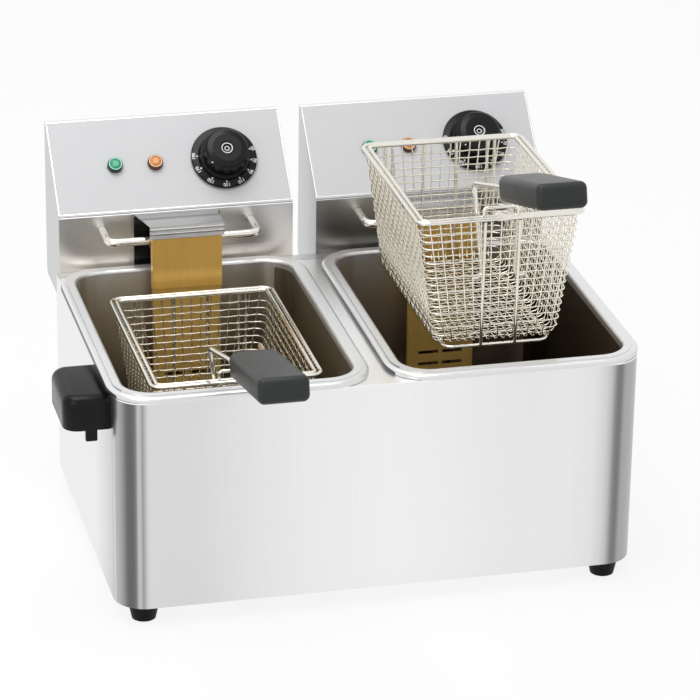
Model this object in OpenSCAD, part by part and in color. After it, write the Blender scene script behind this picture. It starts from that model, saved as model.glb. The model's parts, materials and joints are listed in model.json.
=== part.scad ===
// Double table-top deep fryer: a steel housing on four feet, two lift-out oil tanks,
// two lift-off control heads with heating elements, and two wire baskets.
// Millimetres, +Z up, the user stands at -Y. The origin is under the middle of the whole.

/* [Housing] */
// Width of the housing
body_w = 484; // [464:1:504]
// Depth of the housing
body_d = 319; // [312:1:336]
// Height of the housing above its feet
body_h = 201; // [192:1:216]
// Radius of the upright front corners
body_corner_r = 29; // [20:1:34]
// Thickness of the housing's sheet steel
sheet = 1.2; // [0.8:0.1:1.6]
// Depth of the folded strip along the rear of the deck
rear_strip_d = 13; // [8:1:16]
// Width of the seam in front of that strip
strip_seam = 0.6; // [0.3:0.1:1.2]
// Length of a vent slot in the base plate
vent_l = 70; // [40:1:100]
// Width of a vent slot
vent_w = 5; // [3:0.5:8]
// Number of vent slots in each row
vent_n = 6; // [2:1:8]

/* [Feet] */
// Height of a foot
foot_h = 16.5; // [12:0.5:24]
// Diameter of a foot at its top
foot_top_d = 29; // [24:1:32]
// Diameter of a foot where it stands
foot_bottom_d = 22; // [18:1:26]
// Distance of a foot's axis from the housing's side
foot_inset_x = 26; // [22:1:50]
// Distance of a foot's axis from the housing's front and rear
foot_inset_y = 19; // [18:1:50]
// Shank diameter of a foot screw
foot_screw_d = 5; // [4:0.5:6]

/* [Carry handle] */
// How far the carry handle stands out from the housing's left side
grip_out = 41; // [34:1:50]
// Length of the carry handle
grip_l = 80; // [70:1:100]
// Height of the carry handle
grip_h = 32; // [28:1:40]
// Distance from the housing's front to the handle's front end
grip_front = 32; // [30:1:60]
// Distance from the deck down to the handle's top
grip_drop = 4; // [3:1:14]
// Wall of the handle's shell
grip_wall = 4; // [3:0.5:5]
// Radius of the handle's outer corners
grip_r = 14; // [9:1:18]
// Shank diameter of a carry handle screw
grip_screw_d = 4; // [3:0.5:5]

/* [Tanks] */
// Gap between the two tank flanges
flange_gap = 14; // [10:1:22]
// How far the flanges reach over the housing's front and sides
flange_over = 3; // [0:0.5:5]
// Gap between a flange and the housing's rear face
flange_rear = 6; // [4:1:10]
// Width of the flange round the opening
flange_w = 14.4; // [12.4:0.4:16]
// Height of the flange above the deck
flange_rise = 6.2; // [5:0.2:8]
// Radius of the flange's rolled outer lip
lip_r = 3.4; // [2.4:0.2:4]
// Depth of the step in front of the lip
flange_step = 0.7; // [0.3:0.1:0.9]
// Depth of a tank below its flange
tank_depth = 160; // [150:1:166]
// Thickness of a tank's sheet
tank_wall = 1; // [0.8:0.1:1.2]
// Radius of the opening's corners
tank_corner_r = 27; // [24:1:34]
// Radius between a tank's walls and its floor
tank_floor_r = 18; // [10:1:22]
// Radius over the edge from flange to wall
tank_edge_r = 3; // [2:0.5:4]
// Gap between a tank's wall and the deck's edge
deck_hole_gap = 1.5; // [1:0.5:2.5]

/* [Control heads] */
// Gap between the two heads
head_gap = 23; // [16:1:32]
// How far a head stays inside the housing's side
head_inset = 3.2; // [2:0.2:8]
// Depth of a head behind the housing
head_depth = 77; // [70:1:90]
// Height of a head above the deck
head_rise = 126; // [116:1:136]
// How far a head hangs below the deck
head_drop = 29; // [22:1:40]
// Height of the panel's lower edge above the deck
panel_foot = 56; // [52:1:62]
// Depth of the flat strip on top of a head
head_top_d = 6.5; // [4:0.5:12]
// Thickness of a head's sheet
head_sheet = 1; // [0.8:0.1:1.4]
// Thickness of the printed front panel
fascia_t = 1.2; // [0.8:0.1:1.6]

/* [Element cover] */
// Half width of the cover's roof at the head
cover_back_half = 39.7; // [38.5:0.2:44]
// Half width of the cover's roof in front
cover_half = 35.7; // [34.5:0.1:37.5]
// Half width of the plate below the roof
guard_half = 33.4; // [31.4:0.1:34.4]
// How far the cover stands out from the head
cover_out = 51.3; // [50.3:0.2:54]
// Height of the roof above the deck, at the head
cover_back_z = 53; // [46:1:54]
// Height of the roof's front edge above the deck
cover_front_z = 60; // [54:0.2:62]
// Height of the roof's front band
cover_band = 13; // [9:1:14]
// Diameter of the two beads along the band
bead_d = 1.6; // [1:0.2:2]
// Distance from the roof's edge down to the first bead
bead_top = 3.4; // [2.4:0.2:3.8]
// Distance between the beads
bead_pitch = 4.2; // [3:0.2:4.4]
// How far the plate reaches below the deck
cover_reach = 4.4; // [0:0.2:12]
// Depth of the folded side edges
guard_fold = 8.4; // [5:0.2:8.6]
// Thickness of the cover's sheet
cover_sheet = 1; // [0.8:0.1:1.2]
// Length of a slot in the lower guard plate
slot_l = 20; // [14:1:24]
// Height of a slot
slot_h = 3.6; // [2:0.2:5]
// Distance between the rows of slots
slot_pitch = 12; // [8:1:14]
// Rows of slots
slot_rows = 2; // [1:1:3]
// Depth of the first row of slots below the deck
slot_top = 92; // [80:1:96]

/* [Heating element] */
// Diameter of the element's tube
element_d = 8; // [6:0.5:8.5]
// Bend radius of the element
element_r = 12; // [9:1:13]
// Distance of a riser from the head's middle
riser_x = 20; // [17:1:22]
// Distance of the risers in front of the head
riser_out = 26; // [25.6:0.1:26.4]
// Height above the deck where the element enters the head
riser_z = 22; // [18:1:26]
// Gap between the element and the tank's floor
element_lift = 18.6; // [16:0.2:20]
// Half width of the outer loops
loop_x = 74; // [62:1:80]
// Half width of the middle loop
loop_mid_x = 24; // [20:1:30]
// Gap between the loops and the tank's front wall
loop_clear = 32; // [28:1:60]
// Diameter of the temperature bulb
bulb_d = 6; // [5:0.5:7]
// Length of the temperature bulb
bulb_l = 88; // [60:1:94]
// Diameter of the bulb's capillary
capillary_d = 2; // [1.5:0.1:2.5]

/* [Hanging bar] */
// Diameter of the bar
bar_d = 8; // [6:0.5:8]
// Half of the bar's width
bar_half = 72; // [71:1:78]
// How far the bar's axis stands out from the head
bar_out = 36.4; // [36.2:0.1:36.8]
// Height of the bar's axis above the deck
bar_z = 40.6; // [39.6:0.2:42.6]
// Bend radius of the bar
bar_r = 9; // [6:1:9]

/* [Knob and lamps] */
// Sideways distance from the panel's middle to the knob
knob_x = 53; // [46:1:58]
// Diameter of the knob's dial skirt
skirt_d = 64; // [58:1:70]
// Thickness of the dial skirt
skirt_t = 4; // [3:0.5:5]
// Diameter of the knob's cap
cap_d = 44; // [38:1:46]
// Height of the whole knob
knob_h = 24; // [20:1:28]
// Gap between the knob and the panel
knob_gap = 1; // [0.6:0.1:2]
// Diameter of the thermostat's shaft
shaft_d = 6; // [5:0.5:7]
// Running fit of the shaft in the knob, on the radius
shaft_fit = 0.05; // [0.03:0.01:0.08]
// Sideways distance from the panel's middle to the green lamp
lamp_green_x = 53; // [46:1:60]
// Sideways distance from the panel's middle to the orange lamp
lamp_orange_x = 14; // [8:1:16]
// Diameter of a lamp's bezel
lamp_d = 15.5; // [13:0.5:18]
// Diameter of a lamp's body
lamp_body_d = 12; // [9:0.5:12.5]

/* [Fittings inside and behind the heads] */
// Diameter of the cord gland's flange
gland_d = 22; // [18:1:26]
// How far the gland stands out at the rear
gland_out = 11; // [8:1:16]
// Bore of the gland
gland_bore = 8.5; // [7:0.5:10]
// Diameter of the reset button
button_d = 6; // [5:0.5:7]
// Running fit of the button in its neck, on the radius
button_fit = 0.05; // [0.03:0.01:0.08]
// How far the button stands out of its neck
button_out = 3; // [2.4:0.2:5]
// Travel of the button
button_travel = 2; // [1:0.2:2.2]
// Head diameter of a case screw
case_screw_d = 7; // [6:0.5:8]

/* [Baskets] */
// Width of a basket at its rim
basket_w = 152; // [140:1:154]
// Width of a basket at its floor
basket_floor_w = 116; // [108:1:124]
// Length of a basket from front to rear
basket_l = 210; // [196:1:212]
// Height of a basket
basket_h = 120; // [110:1:124]
// How far the front wall slopes in
basket_slope = 4; // [0:0.5:8]
// Radius of a basket's corners
basket_r = 9; // [7:1:14]
// Diameter of the mesh wire
mesh_d = 1.3; // [1:0.1:1.5]
// Distance between the mesh rows
row_pitch = 6.5; // [6:0.5:10]
// Distance between the upright wires at the rim
upright_pitch = 8.8; // [8:0.2:12]
// Distance between the uprights of the long sides
side_pitch = 7; // [6:0.5:10]
// Diameter of the rim wires
rim_d = 3.8; // [3:0.1:4.4]
// Diameter of the struts and of the loop under the floor
strut_d = 3; // [2.6:0.1:3.4]
// Distance between the two struts of the front and rear walls
strut_gap = 32; // [26:1:40]
// Distance between the two wires of one hook at the rear
hook_w = 7; // [6:0.5:8]
// Gap between a hanging hook and the element cover beside it
hook_clear = 0.5; // [0.4:0.1:1]
// Play of a hook behind the bar
hook_play = 1.5; // [0.5:0.5:3]
// Gap between crossing wires
wire_gap = 0.05; // [0.03:0.01:0.1]
// Gap between the left basket and the tank's front wall
basket_front = 22; // [16:1:24]
// Gap between the hanging basket and the element cover
hang_clear = 3; // [2:0.5:6]
// How far the hanging basket sits beside the head's middle
hang_side = 7; // [0:1:7]
// Distance from a basket's rim down to the inside of its hooks
hook_drop = 84; // [76:1:90]

/* [Basket handles] */
// Diameter of the handle wire
handle_d = 4.5; // [4:0.1:5]
// Half width between the handle's feet
foot_half = 15; // [14:0.5:17]
// How far each foot is bent outward
foot_out = 10; // [6:1:14]
// Depth of the feet below the rim
foot_depth = 58; // [50:1:66]
// Half width of the handle at its top bend
top_half = 22.5; // [20:0.5:25]
// Height of the bow between the legs above the rim
bow_rise = 9; // [7:0.5:12]
// Height of the top bend above the rim
handle_rise = 29; // [26:1:40]
// Half width where the wires enter the grip
entry_half = 15; // [13:0.5:15.5]
// Length of bare wire in front of the top bend
handle_reach = 72; // [56:1:84]
// Upward tilt of the handle
handle_tilt = 12; // [8:0.5:18]
// How far the right handle leans back from its rim, about its feet
handle_lean = 4.5; // [0:0.5:8]
// Length of the plastic grip
hold_l = 129; // [110:1:140]
// Width of the plastic grip
hold_w = 45; // [42:1:50]
// Thickness of the plastic grip
hold_t = 23; // [20:1:26]
// Rounding of the grip's edges
hold_r = 8; // [6:0.5:9]

/* [Hidden] */
$fn = 64;
still = 0.3;                                   // gap between bodies that rest on each other
hair = 0.01;

// Heights
floor_z = foot_h;                              // underside of the housing
deck_z = foot_h + body_h;                      // top of the deck
flange_z = deck_z + flange_rise;

// Tanks
flange_full = (body_w + 2 * flange_over - flange_gap) / 2;
tank_x = flange_gap / 2 + flange_full / 2;
open_w = flange_full - 2 * flange_w;
open_front = flange_w - flange_over;           // behind the housing's front
open_l = body_d - flange_rear - flange_w - open_front;

// Heads
head_w = (body_w - 2 * head_inset - head_gap) / 2;
head_x = head_gap / 2 + head_w / 2;
panel_run = head_depth - head_top_d - still;
panel_up = head_rise - panel_foot;
panel_l = norm([panel_run, panel_up]);
panel_tilt = atan2(panel_run, panel_up);       // from upright
bend_down = 6;                                 // chamfer at the head's lower rear edge
wall_y = still;                                // front wall of a head, seen from the housing's rear
tank_back = flange_rear + flange_w;            // from the housing's rear to the tank opening
tank_floor = flange_rise - tank_depth;         // tank floor, seen from the deck
element_z = tank_floor + element_lift + element_d / 2;
guard_bottom = element_z + element_d / 2 + 4;
guard_top = 20;
loop_back = riser_out + 2.4 * element_r;
loop_far = tank_back + open_l - loop_clear;
loop_turn = loop_back + 2.6 * element_r;
thermo_w = 34;
thermo_t = 24;
plate_t = 1.5;
panel_mid = panel_l / 2;
rear_y = head_depth - head_sheet;              // inner face of a head's rear wall
button_z = 84;                                 // height of the reset button above the deck
button_x = -60;
neck_d = button_d + 5;
neck_out = 5;
button_in = 12;                                // length of the button inside its neck
button_deep = button_in - neck_out - head_sheet + button_travel + still;
gland_z = 4;
gland_x = 70;
gland_body = 14;
case_screw_shank = 3;

// Baskets
lean = (basket_w - basket_floor_w) / 2;
rows = floor((basket_h - row_pitch / 2) / row_pitch);
uprights = 2 * floor((basket_w / 2 - basket_r) / upright_pitch) + 1;
stays = 2 * floor((basket_l / 2 - basket_r) / side_pitch) + 1;
in_step = mesh_d + wire_gap;                   // offset of one wire layer to the next
rim_side = (rim_d + mesh_d) / 2 + 3 * wire_gap; // rim wires lie on both sides of the uprights
sleeve_d = rim_d + 1;
strut_off = (mesh_d + strut_d) / 2 + wire_gap;
floor_r = 6;                                   // bend from an upright to the floor
stay_floor = stay_x(basket_h + in_step) - floor_r;
loop_z = -basket_h - in_step - strut_off;
loop_half_w = basket_floor_w / 2 - floor_r - strut_d;
loop_front = basket_slope - strut_off + strut_d + wire_gap;
loop_rear = basket_l + strut_off - strut_d - wire_gap;
basket_foot = strut_d / 2 - loop_z;            // from the rim to the underside of the loop
rim_out = rim_side - in_step + rim_d / 2;      // outer reach of the rim, from the rows' plane
rim_in = rim_side + in_step + rim_d / 2;       // inner reach
foot_y = in_step + (mesh_d + handle_d) / 2 + still + basket_slope * foot_depth / basket_h;
leg_part = foot_depth / (foot_depth + handle_rise);
leg_half = foot_half + (top_half - foot_half) * leg_part;
leg_y = foot_y + (rim_in + handle_d / 2 + still - foot_y) / leg_part;
bow_half = leg_half - (handle_d + strut_d) / 2 - still;
hold_start = handle_reach;
hold_end = handle_reach + hold_l;
hook_half = cover_back_half - (cover_back_half - cover_half) * (bar_out - bar_d) / cover_out
    + hook_clear + hang_side + (hook_w + strut_d) / 2;
hang_front = body_d - cover_out - hang_clear - strut_off - strut_d / 2 - basket_l;
rim_z_left = tank_floor + element_lift + element_d + still + basket_foot;
rim_z_right = bar_z + bar_d / 2 + hook_drop + still;
sit_front = open_front + basket_front + rim_out;

// Place of the whole: the middle of its reach each way lies over the origin
x_mid = (grip_out - flange_over) / 2;
reach_front = hold_end * cos(handle_tilt) + hold_t / 2 * sin(handle_tilt) - leg_y - sit_front;
reach_back = body_d + head_depth + gland_out;
y_front = -(reach_back - reach_front) / 2;

LEFT = -1;
RIGHT = 1;

// ---------------------------------------------------------------- places

// Middle of the housing's front face, at its underside
module at_housing() translate([x_mid, y_front, floor_z]) children();

// Middle of a tank's opening, at the top of its flange
module at_tank(side)
    translate([x_mid + side * tank_x, y_front + open_front + open_l / 2, flange_z]) children();

// Middle of a head, at the housing's rear face and the deck's height
module at_head(side)
    translate([x_mid + side * head_x, y_front + body_d, deck_z]) children();

// Middle of a front panel's lower edge: x to the right, y up the slope, z out of the panel
module at_panel(side)
    at_head(side) translate([0, wall_y, panel_foot]) rotate([90 - panel_tilt, 0, 0]) children();

// Middle of a basket's front wall, at the rim: the left one sits in its tank,
// the right one hangs on the bar
module at_basket(side)
    if (side == LEFT)
        translate([x_mid - tank_x, y_front + sit_front, deck_z + rim_z_left]) children();
    else
        translate([x_mid + head_x - hang_side, y_front + hang_front, deck_z + rim_z_right]) children();

// A basket's handle, seen from its front wall's middle: the right one leans back about its feet
module at_legs(side)
    at_basket(side) translate([0, foot_y, -foot_depth])
        rotate([side == RIGHT ? -handle_lean : 0, 0, 0]) translate([0, -foot_y, foot_depth]) children();

// Top bend of a basket's handle: x to the right, y back towards the basket, z out of the grip
module at_handle(side)
    at_legs(side) translate([0, leg_y, handle_rise]) rotate([-handle_tilt, 0, 0]) children();

// ---------------------------------------------------------------- forms

// Rectangle with four round corners
module round_rect(w, l, r) {
    square([w - 2 * r, l], center = true);
    square([w, l - 2 * r], center = true);
    for (sx = [-1, 1], sy = [-1, 1])
        translate([sx * (w / 2 - r), sy * (l / 2 - r)]) circle(r);
}

// Plan of the housing, inset all round: round corners in front, square ones at the rear
module body_plan(inset) {
    w = body_w - 2 * inset;
    r = body_corner_r - inset;
    translate([-w / 2, body_corner_r]) square([w, body_d - inset - body_corner_r]);
    translate([-w / 2 + r, inset]) square([w - 2 * r, r + 1]);
    for (sx = [-1, 1]) translate([sx * (w / 2 - r), body_corner_r]) circle(r);
}

// Sweeps a section round a rounded opening. The section's x runs outward from the corner's axis.
module round_sweep(w, l, r) {
    for (q = [0 : 3]) {
        along = q % 2 == 0 ? l : w;
        across = q % 2 == 0 ? w : l;
        rotate(90 * q) {
            translate([across / 2 - r, 0, 0]) rotate([90, 0, 0])
                linear_extrude(along - 2 * r, center = true) children();
            translate([across / 2 - r, along / 2 - r, 0]) rotate_extrude(angle = 90) children();
        }
    }
}

// Quarter of a ring: its middle at the origin, turned to one quadrant
module quarter_ring(r_out, r_in, turn)
    rotate(turn) intersection() {
        difference() {
            circle(r_out);
            circle(r_in);
        }
        square(r_out + 1);
    }

function unit(v) = v / norm(v);
function turn_angle(u, v) = acos(max(-1, min(1, u * v)));
function setback(a, b, c, r) = r * tan(turn_angle(unit(b - a), unit(c - b)) / 2);

// Straight rod between two points
module rod(a, b, d) {
    v = b - a;
    if (norm(v) > hair)
        translate(a) rotate([0, acos(v[2] / norm(v)), atan2(v[1], v[0])])
            cylinder(d = d, h = norm(v), $fn = 24);
}

// Round wire through a line of points, bent at each point between its ends.
// Each stretch is drawn in the frame of the one before it: z runs on, x points into the next bend.
module wire(p, d, r) {
    u = unit(p[1] - p[0]);
    x = into_bend(p, 0);
    y = cross(u, x);
    multmatrix([[x[0], y[0], u[0], p[0][0]], [x[1], y[1], u[1], p[0][1]],
                [x[2], y[2], u[2], p[0][2]], [0, 0, 0, 1]])
        stretch(p, 0, x, d, r);
}

// Direction from stretch i into the bend at its end
function into_bend(p, i) = let (u = unit(p[i + 1] - p[i]), v = unit(p[i + 2] - p[i + 1]))
    unit(v - (v * u) * u);

module stretch(p, i, x, d, r) {
    last = len(p) - 2;
    u = unit(p[i + 1] - p[i]);
    from = i == 0 ? 0 : setback(p[i - 1], p[i], p[i + 1], r);
    to = i == last ? 0 : setback(p[i], p[i + 1], p[i + 2], r);
    run = norm(p[i + 1] - p[i]) - from - to;
    if (run > hair) cylinder(d = d, h = run, $fn = 24);
    if (i < last) {
        side = into_bend(p, i);
        angle = turn_angle(u, unit(p[i + 2] - p[i + 1]));
        translate([0, 0, max(run, 0)]) rotate(atan2(side * cross(u, x), side * x)) {
            translate([r, 0, 0]) rotate([90, 0, 180])
                rotate_extrude(angle = angle) translate([r, 0]) circle(d = d, $fn = 24);
            translate([r, 0, 0]) rotate([0, angle, 0]) translate([-r, 0, 0])
                stretch(p, i + 1, side * cos(angle) - u * sin(angle), d, r);
        }
    }
}

// Fine wire through a line of points: straight stretches and bends, parted by a hairline
module fine_wire(p, d, r) {
    last = len(p) - 1;
    for (i = [0 : last - 1]) {
        u = unit(p[i + 1] - p[i]);
        from = i == 0 ? 0 : setback(p[i - 1], p[i], p[i + 1], r) + hair;
        to = i == last - 1 ? 0 : setback(p[i], p[i + 1], p[i + 2], r) + hair;
        if (norm(p[i + 1] - p[i]) > from + to + 2 * hair)
            rod(p[i] + u * from, p[i + 1] - u * to, d);
    }
    for (i = [1 : last - 1]) {
        u = unit(p[i] - p[i - 1]);
        v = unit(p[i + 1] - p[i]);
        mid = p[i] + unit(v - u) * r / cos(turn_angle(u, v) / 2);
        x = unit(p[i] - u * setback(p[i - 1], p[i], p[i + 1], r) - mid);
        z = cross(x, u);
        multmatrix([[x[0], u[0], z[0], mid[0]], [x[1], u[1], z[1], mid[1]],
                    [x[2], u[2], z[2], mid[2]], [0, 0, 0, 1]])
            rotate_extrude(angle = turn_angle(u, v)) translate([r, 0]) circle(d = d, $fn = 24);
    }
}

// Closed rectangular loop of round wire in a level plane
module wire_loop(w, l, d, r)
    for (s = [-1, 1]) {
        translate([s * w / 2, 0, 0]) rotate([90, 0, 0])
            cylinder(d = d, h = l - 2 * r, center = true, $fn = 24);
        translate([0, s * l / 2, 0]) rotate([0, 90, 0])
            cylinder(d = d, h = w - 2 * r, center = true, $fn = 24);
        for (t = [-1, 1])
            translate([s * (w / 2 - r), t * (l / 2 - r), 0])
                rotate(s > 0 ? (t > 0 ? 0 : -90) : (t > 0 ? 90 : 180))
                    rotate_extrude(angle = 90) translate([r, 0]) circle(d = d, $fn = 24);
    }

// Places of the four feet, seen from the housing's front middle
module at_feet()
    for (sx = [-1, 1], y = [foot_inset_y, body_d - foot_inset_y])
        translate([sx * (body_w / 2 - foot_inset_x), y, 0]) children();

// Places of the two screws of the carry handle, pointing out of the housing's left side
module at_grip_screws()
    for (y = [grip_l / 4, grip_l * 3 / 4])
        translate([-body_w / 2, grip_front + y, body_h - grip_drop - grip_h / 2])
            rotate([0, -90, 0]) children();

// Places of the four screws in a head's rear wall, pointing to the rear
module at_case_screws()
    for (sx = [-1, 1], z = [8 - head_drop, head_rise - 14])
        translate([sx * (head_w / 2 - 10), head_depth, z]) rotate([-90, 0, 0]) children();

// ---------------------------------------------------------------- housing

// Front and sides, one folded sheet
module housing_shell()
    color("gainsboro") at_housing() difference() {
        linear_extrude(body_h - sheet) difference() {
            body_plan(0);
            body_plan(sheet);
            translate([-body_w, body_d - sheet]) square([2 * body_w, 2 * sheet]);
        }
        at_grip_screws() cylinder(d = grip_screw_d + 0.4, h = 4 * sheet, center = true);
    }

// Deck with the two openings for the tanks
module deck_plate()
    color("gainsboro") at_housing() translate([0, 0, body_h - sheet]) linear_extrude(sheet)
        difference() {
            body_plan(0);
            translate([-body_w, body_d - rear_strip_d - strip_seam])
                square([2 * body_w, rear_strip_d + strip_seam + 1]);
            for (side = [LEFT, RIGHT]) deck_hole(side);
        }

module deck_hole(side)
    translate([side * tank_x, open_front + open_l / 2])
        round_rect(open_w + 2 * (tank_wall + deck_hole_gap), open_l + 2 * (tank_wall + deck_hole_gap),
                   tank_corner_r + tank_wall + deck_hole_gap);

// Rear wall with its strip folded forward over the deck's rear edge
module rear_panel()
    color("silver") at_housing() {
        translate([-body_w / 2, body_d - sheet, 0]) cube([body_w, sheet, body_h]);
        translate([0, 0, body_h - sheet]) linear_extrude(sheet) difference() {
            translate([-body_w / 2, body_d - rear_strip_d]) square([body_w, rear_strip_d]);
            for (side = [LEFT, RIGHT]) deck_hole(side);
        }
    }

// Base plate inside the shell, with rows of vent slots
module base_plate()
    color("silver") at_housing() linear_extrude(sheet) difference() {
        body_plan(sheet);
        for (row = [-1, 1], i = [0 : vent_n - 1])
            translate([row * body_w / 4, body_d / 2 + (i - (vent_n - 1) / 2) * 4 * vent_w])
                square([vent_l, vent_w], center = true);
        at_feet() circle(d = foot_screw_d + 0.4);
    }

// Four rubber feet
module feet()
    color("#1c1c1c") at_housing() at_feet() difference() {
        translate([0, 0, -foot_h]) cylinder(d1 = foot_bottom_d, d2 = foot_top_d, h = foot_h);
        translate([0, 0, -foot_h - 1]) cylinder(d = foot_screw_d + 0.4, h = foot_h + 2);
        translate([0, 0, -foot_h - 1]) cylinder(d = 2 * foot_screw_d + 2, h = foot_h / 2 + 1);
    }

// Screws that hold the feet to the base plate, with their nuts
module foot_screws()
    color("silver") at_housing() at_feet() {
        translate([0, 0, -foot_h / 2 - 3]) cylinder(d = 2 * foot_screw_d, h = 3);
        translate([0, 0, -foot_h / 2 - 1]) cylinder(d = foot_screw_d, h = foot_h / 2 + sheet + 6);
        translate([0, 0, sheet]) cylinder(d = 1.8 * foot_screw_d, h = 3.5, $fn = 6);
    }

// Carry handle on the left side: a moulded shell, open underneath for the fingers
module carry_handle()
    color("#151515") at_housing()
        translate([-body_w / 2, grip_front, body_h - grip_drop - grip_h])
            mirror([1, 0, 0]) difference() {
                grip_form(0);
                grip_form(grip_wall);
                for (y = [grip_l / 4, grip_l * 3 / 4])
                    translate([-1, y, grip_h / 2]) rotate([0, 90, 0])
                        cylinder(d = grip_screw_d + 0.2, h = grip_wall + 2);
            }

// Outer or inner form of the carry handle: round in plan and over its upper edge
module grip_form(inset) {
    r = grip_r - inset;
    out = grip_out - inset;
    l = grip_l - 2 * inset;
    intersection() {
        translate([0, inset, inset == 0 ? 0 : -1]) linear_extrude(grip_h + 1) {
            translate([inset, 0]) square([out - inset - r, l]);
            translate([inset, r]) square([out - inset, l - 2 * r]);
            for (y = [r, l - r]) translate([out - r, y]) circle(r);
        }
        translate([0, grip_l + 1, 0]) rotate([90, 0, 0]) linear_extrude(grip_l + 2) {
            translate([0, -1]) square([out, grip_h - inset - r + 1]);
            translate([0, -1]) square([out - r, grip_h - inset + 1]);
            translate([out - r, grip_h - inset - r]) circle(r);
        }
    }
}

// Screws of the carry handle, put in from inside the housing
module handle_screws()
    color("silver") at_housing() at_grip_screws() {
        translate([0, 0, -sheet - 2.4]) cylinder(d = 2 * grip_screw_d, h = 2.4);
        translate([0, 0, -sheet - 1]) cylinder(d = grip_screw_d, h = sheet + 1 + grip_wall + 4);
        translate([0, 0, grip_wall]) cylinder(d = 1.8 * grip_screw_d, h = 3, $fn = 6);
    }

// Brackets behind the housing on which the heads stand
module head_brackets() {
    w = head_w / 2;
    leg = 34;
    shelf = head_depth * 0.7;
    top = body_h - head_drop - still;
    color("silver") at_housing() for (side = [LEFT, RIGHT])
        translate([side * head_x, body_d, top]) {
            translate([-w / 2, 0, -leg]) cube([w, 2, leg]);
            translate([-w / 2, 0, -2]) cube([w, shelf, 2]);
            for (x = [-w / 2, w / 2 - 2])
                translate([x, 0, 0]) rotate([90, 0, 90]) linear_extrude(2)
                    polygon([[0, 0], [shelf, 0], [shelf, -4], [6, -leg], [0, -leg]]);
        }
}

// ---------------------------------------------------------------- tanks

// Section through a tank's wall: flange with step and rolled lip, wall, and bend to the floor
module tank_section() {
    t = tank_wall;
    r = tank_corner_r;
    edge = r + tank_edge_r;
    lip = r + flange_w - lip_r;
    step = lip - 2.4;
    low = -flange_step;
    translate([edge, -tank_edge_r]) quarter_ring(tank_edge_r, tank_edge_r - t, 90);
    translate([edge, -t]) square([step - edge, t]);
    translate([step - t, low - t]) square([t, t - low]);
    translate([step - hair, low - t]) square([lip - step + hair, t]);
    translate([lip, low - lip_r]) quarter_ring(lip_r, lip_r - t, 0);
    translate([lip + lip_r - t, still - flange_rise]) square([t, flange_rise - still + low - lip_r]);
    translate([r, tank_floor_r - tank_depth]) square([t, tank_depth - tank_floor_r - tank_edge_r]);
    translate([r - tank_floor_r, tank_floor_r - tank_depth])
        quarter_ring(tank_floor_r + t, tank_floor_r, -90);
}

// One oil tank, pressed from one sheet
module tank(side)
    color("#c9c5bd") at_tank(side) {
        round_sweep(open_w, open_l, tank_corner_r) tank_section();
        translate([0, 0, -tank_depth - tank_wall]) linear_extrude(tank_wall)
            round_rect(open_w - 2 * tank_floor_r, open_l - 2 * tank_floor_r,
                       tank_corner_r - tank_floor_r);
    }

// ---------------------------------------------------------------- heads

// A point on the head's sloping front, set back from it, at depth y
function slope_z(y, inset) = panel_foot - inset * sin(panel_tilt)
    + (y - wall_y - inset * cos(panel_tilt)) / tan(panel_tilt);
function slope_y(z, inset) = wall_y + inset * cos(panel_tilt)
    + (z - panel_foot + inset * sin(panel_tilt)) * tan(panel_tilt);

// Side view of a head, set in all round, with the slope set back by its own amount
module head_side(inset, slope_inset) {
    y0 = wall_y + inset;
    y1 = head_depth - inset;
    z0 = inset - head_drop;
    z1 = head_rise - inset;
    polygon([[y0, z0], [y0, slope_z(y0, slope_inset)], [slope_y(z1, slope_inset), z1], [y1, z1],
             [y1, z0 + bend_down], [y1 - bend_down / 2, z0]]);
}

// Runs a side view across a head
module across(w) rotate([90, 0, 90]) linear_extrude(w, center = true) children();

// Sheet-metal case of a head
module head_case(side)
    color("#d8d8d8") difference() {
        at_head(side) difference() {
            across(head_w) head_side(0, fascia_t);
            across(head_w - 2 * head_sheet) head_side(head_sheet, fascia_t + head_sheet);
            for (x = [-riser_x, riser_x]) front_hole(x, riser_z, element_d + 0.4);
            for (x = [-bar_half, bar_half]) front_hole(x, bar_z, bar_d + 0.4);
            front_hole(0, riser_z, capillary_d + 0.6);
            translate([button_x, head_depth, button_z]) rotate([90, 0, 0])
                cylinder(d = neck_d + 0.2, h = 6 * head_sheet, center = true);
            translate([gland_x, head_depth, gland_z]) rotate([90, 0, 0])
                cylinder(d = gland_body + 0.2, h = 6 * head_sheet, center = true);
            at_case_screws() cylinder(d = case_screw_shank + 0.2, h = 6 * head_sheet, center = true);
        }
        panel_holes(side);
    }

// Hole through a head's front wall
module front_hole(x, z, d)
    translate([x, wall_y + head_sheet / 2, z]) rotate([90, 0, 0])
        cylinder(d = d, h = 3 * head_sheet, center = true);

// Holes for the shaft and the two lamps, through panel and case
module panel_holes(side)
    at_panel(side) translate([0, panel_mid, 0]) {
        translate([knob_x, 0, 0]) cylinder(d = shaft_d + 4, h = 8, center = true);
        for (x = [lamp_green_x, lamp_orange_x])
            translate([-x, 0, 0]) cylinder(d = lamp_body_d + 0.2, h = 8, center = true);
    }

// Printed front panel
module head_panel(side)
    color("#dcdce2") difference() {
        at_panel(side) translate([-head_w / 2, 0, -fascia_t]) cube([head_w, panel_l, fascia_t]);
        panel_holes(side);
    }

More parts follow.
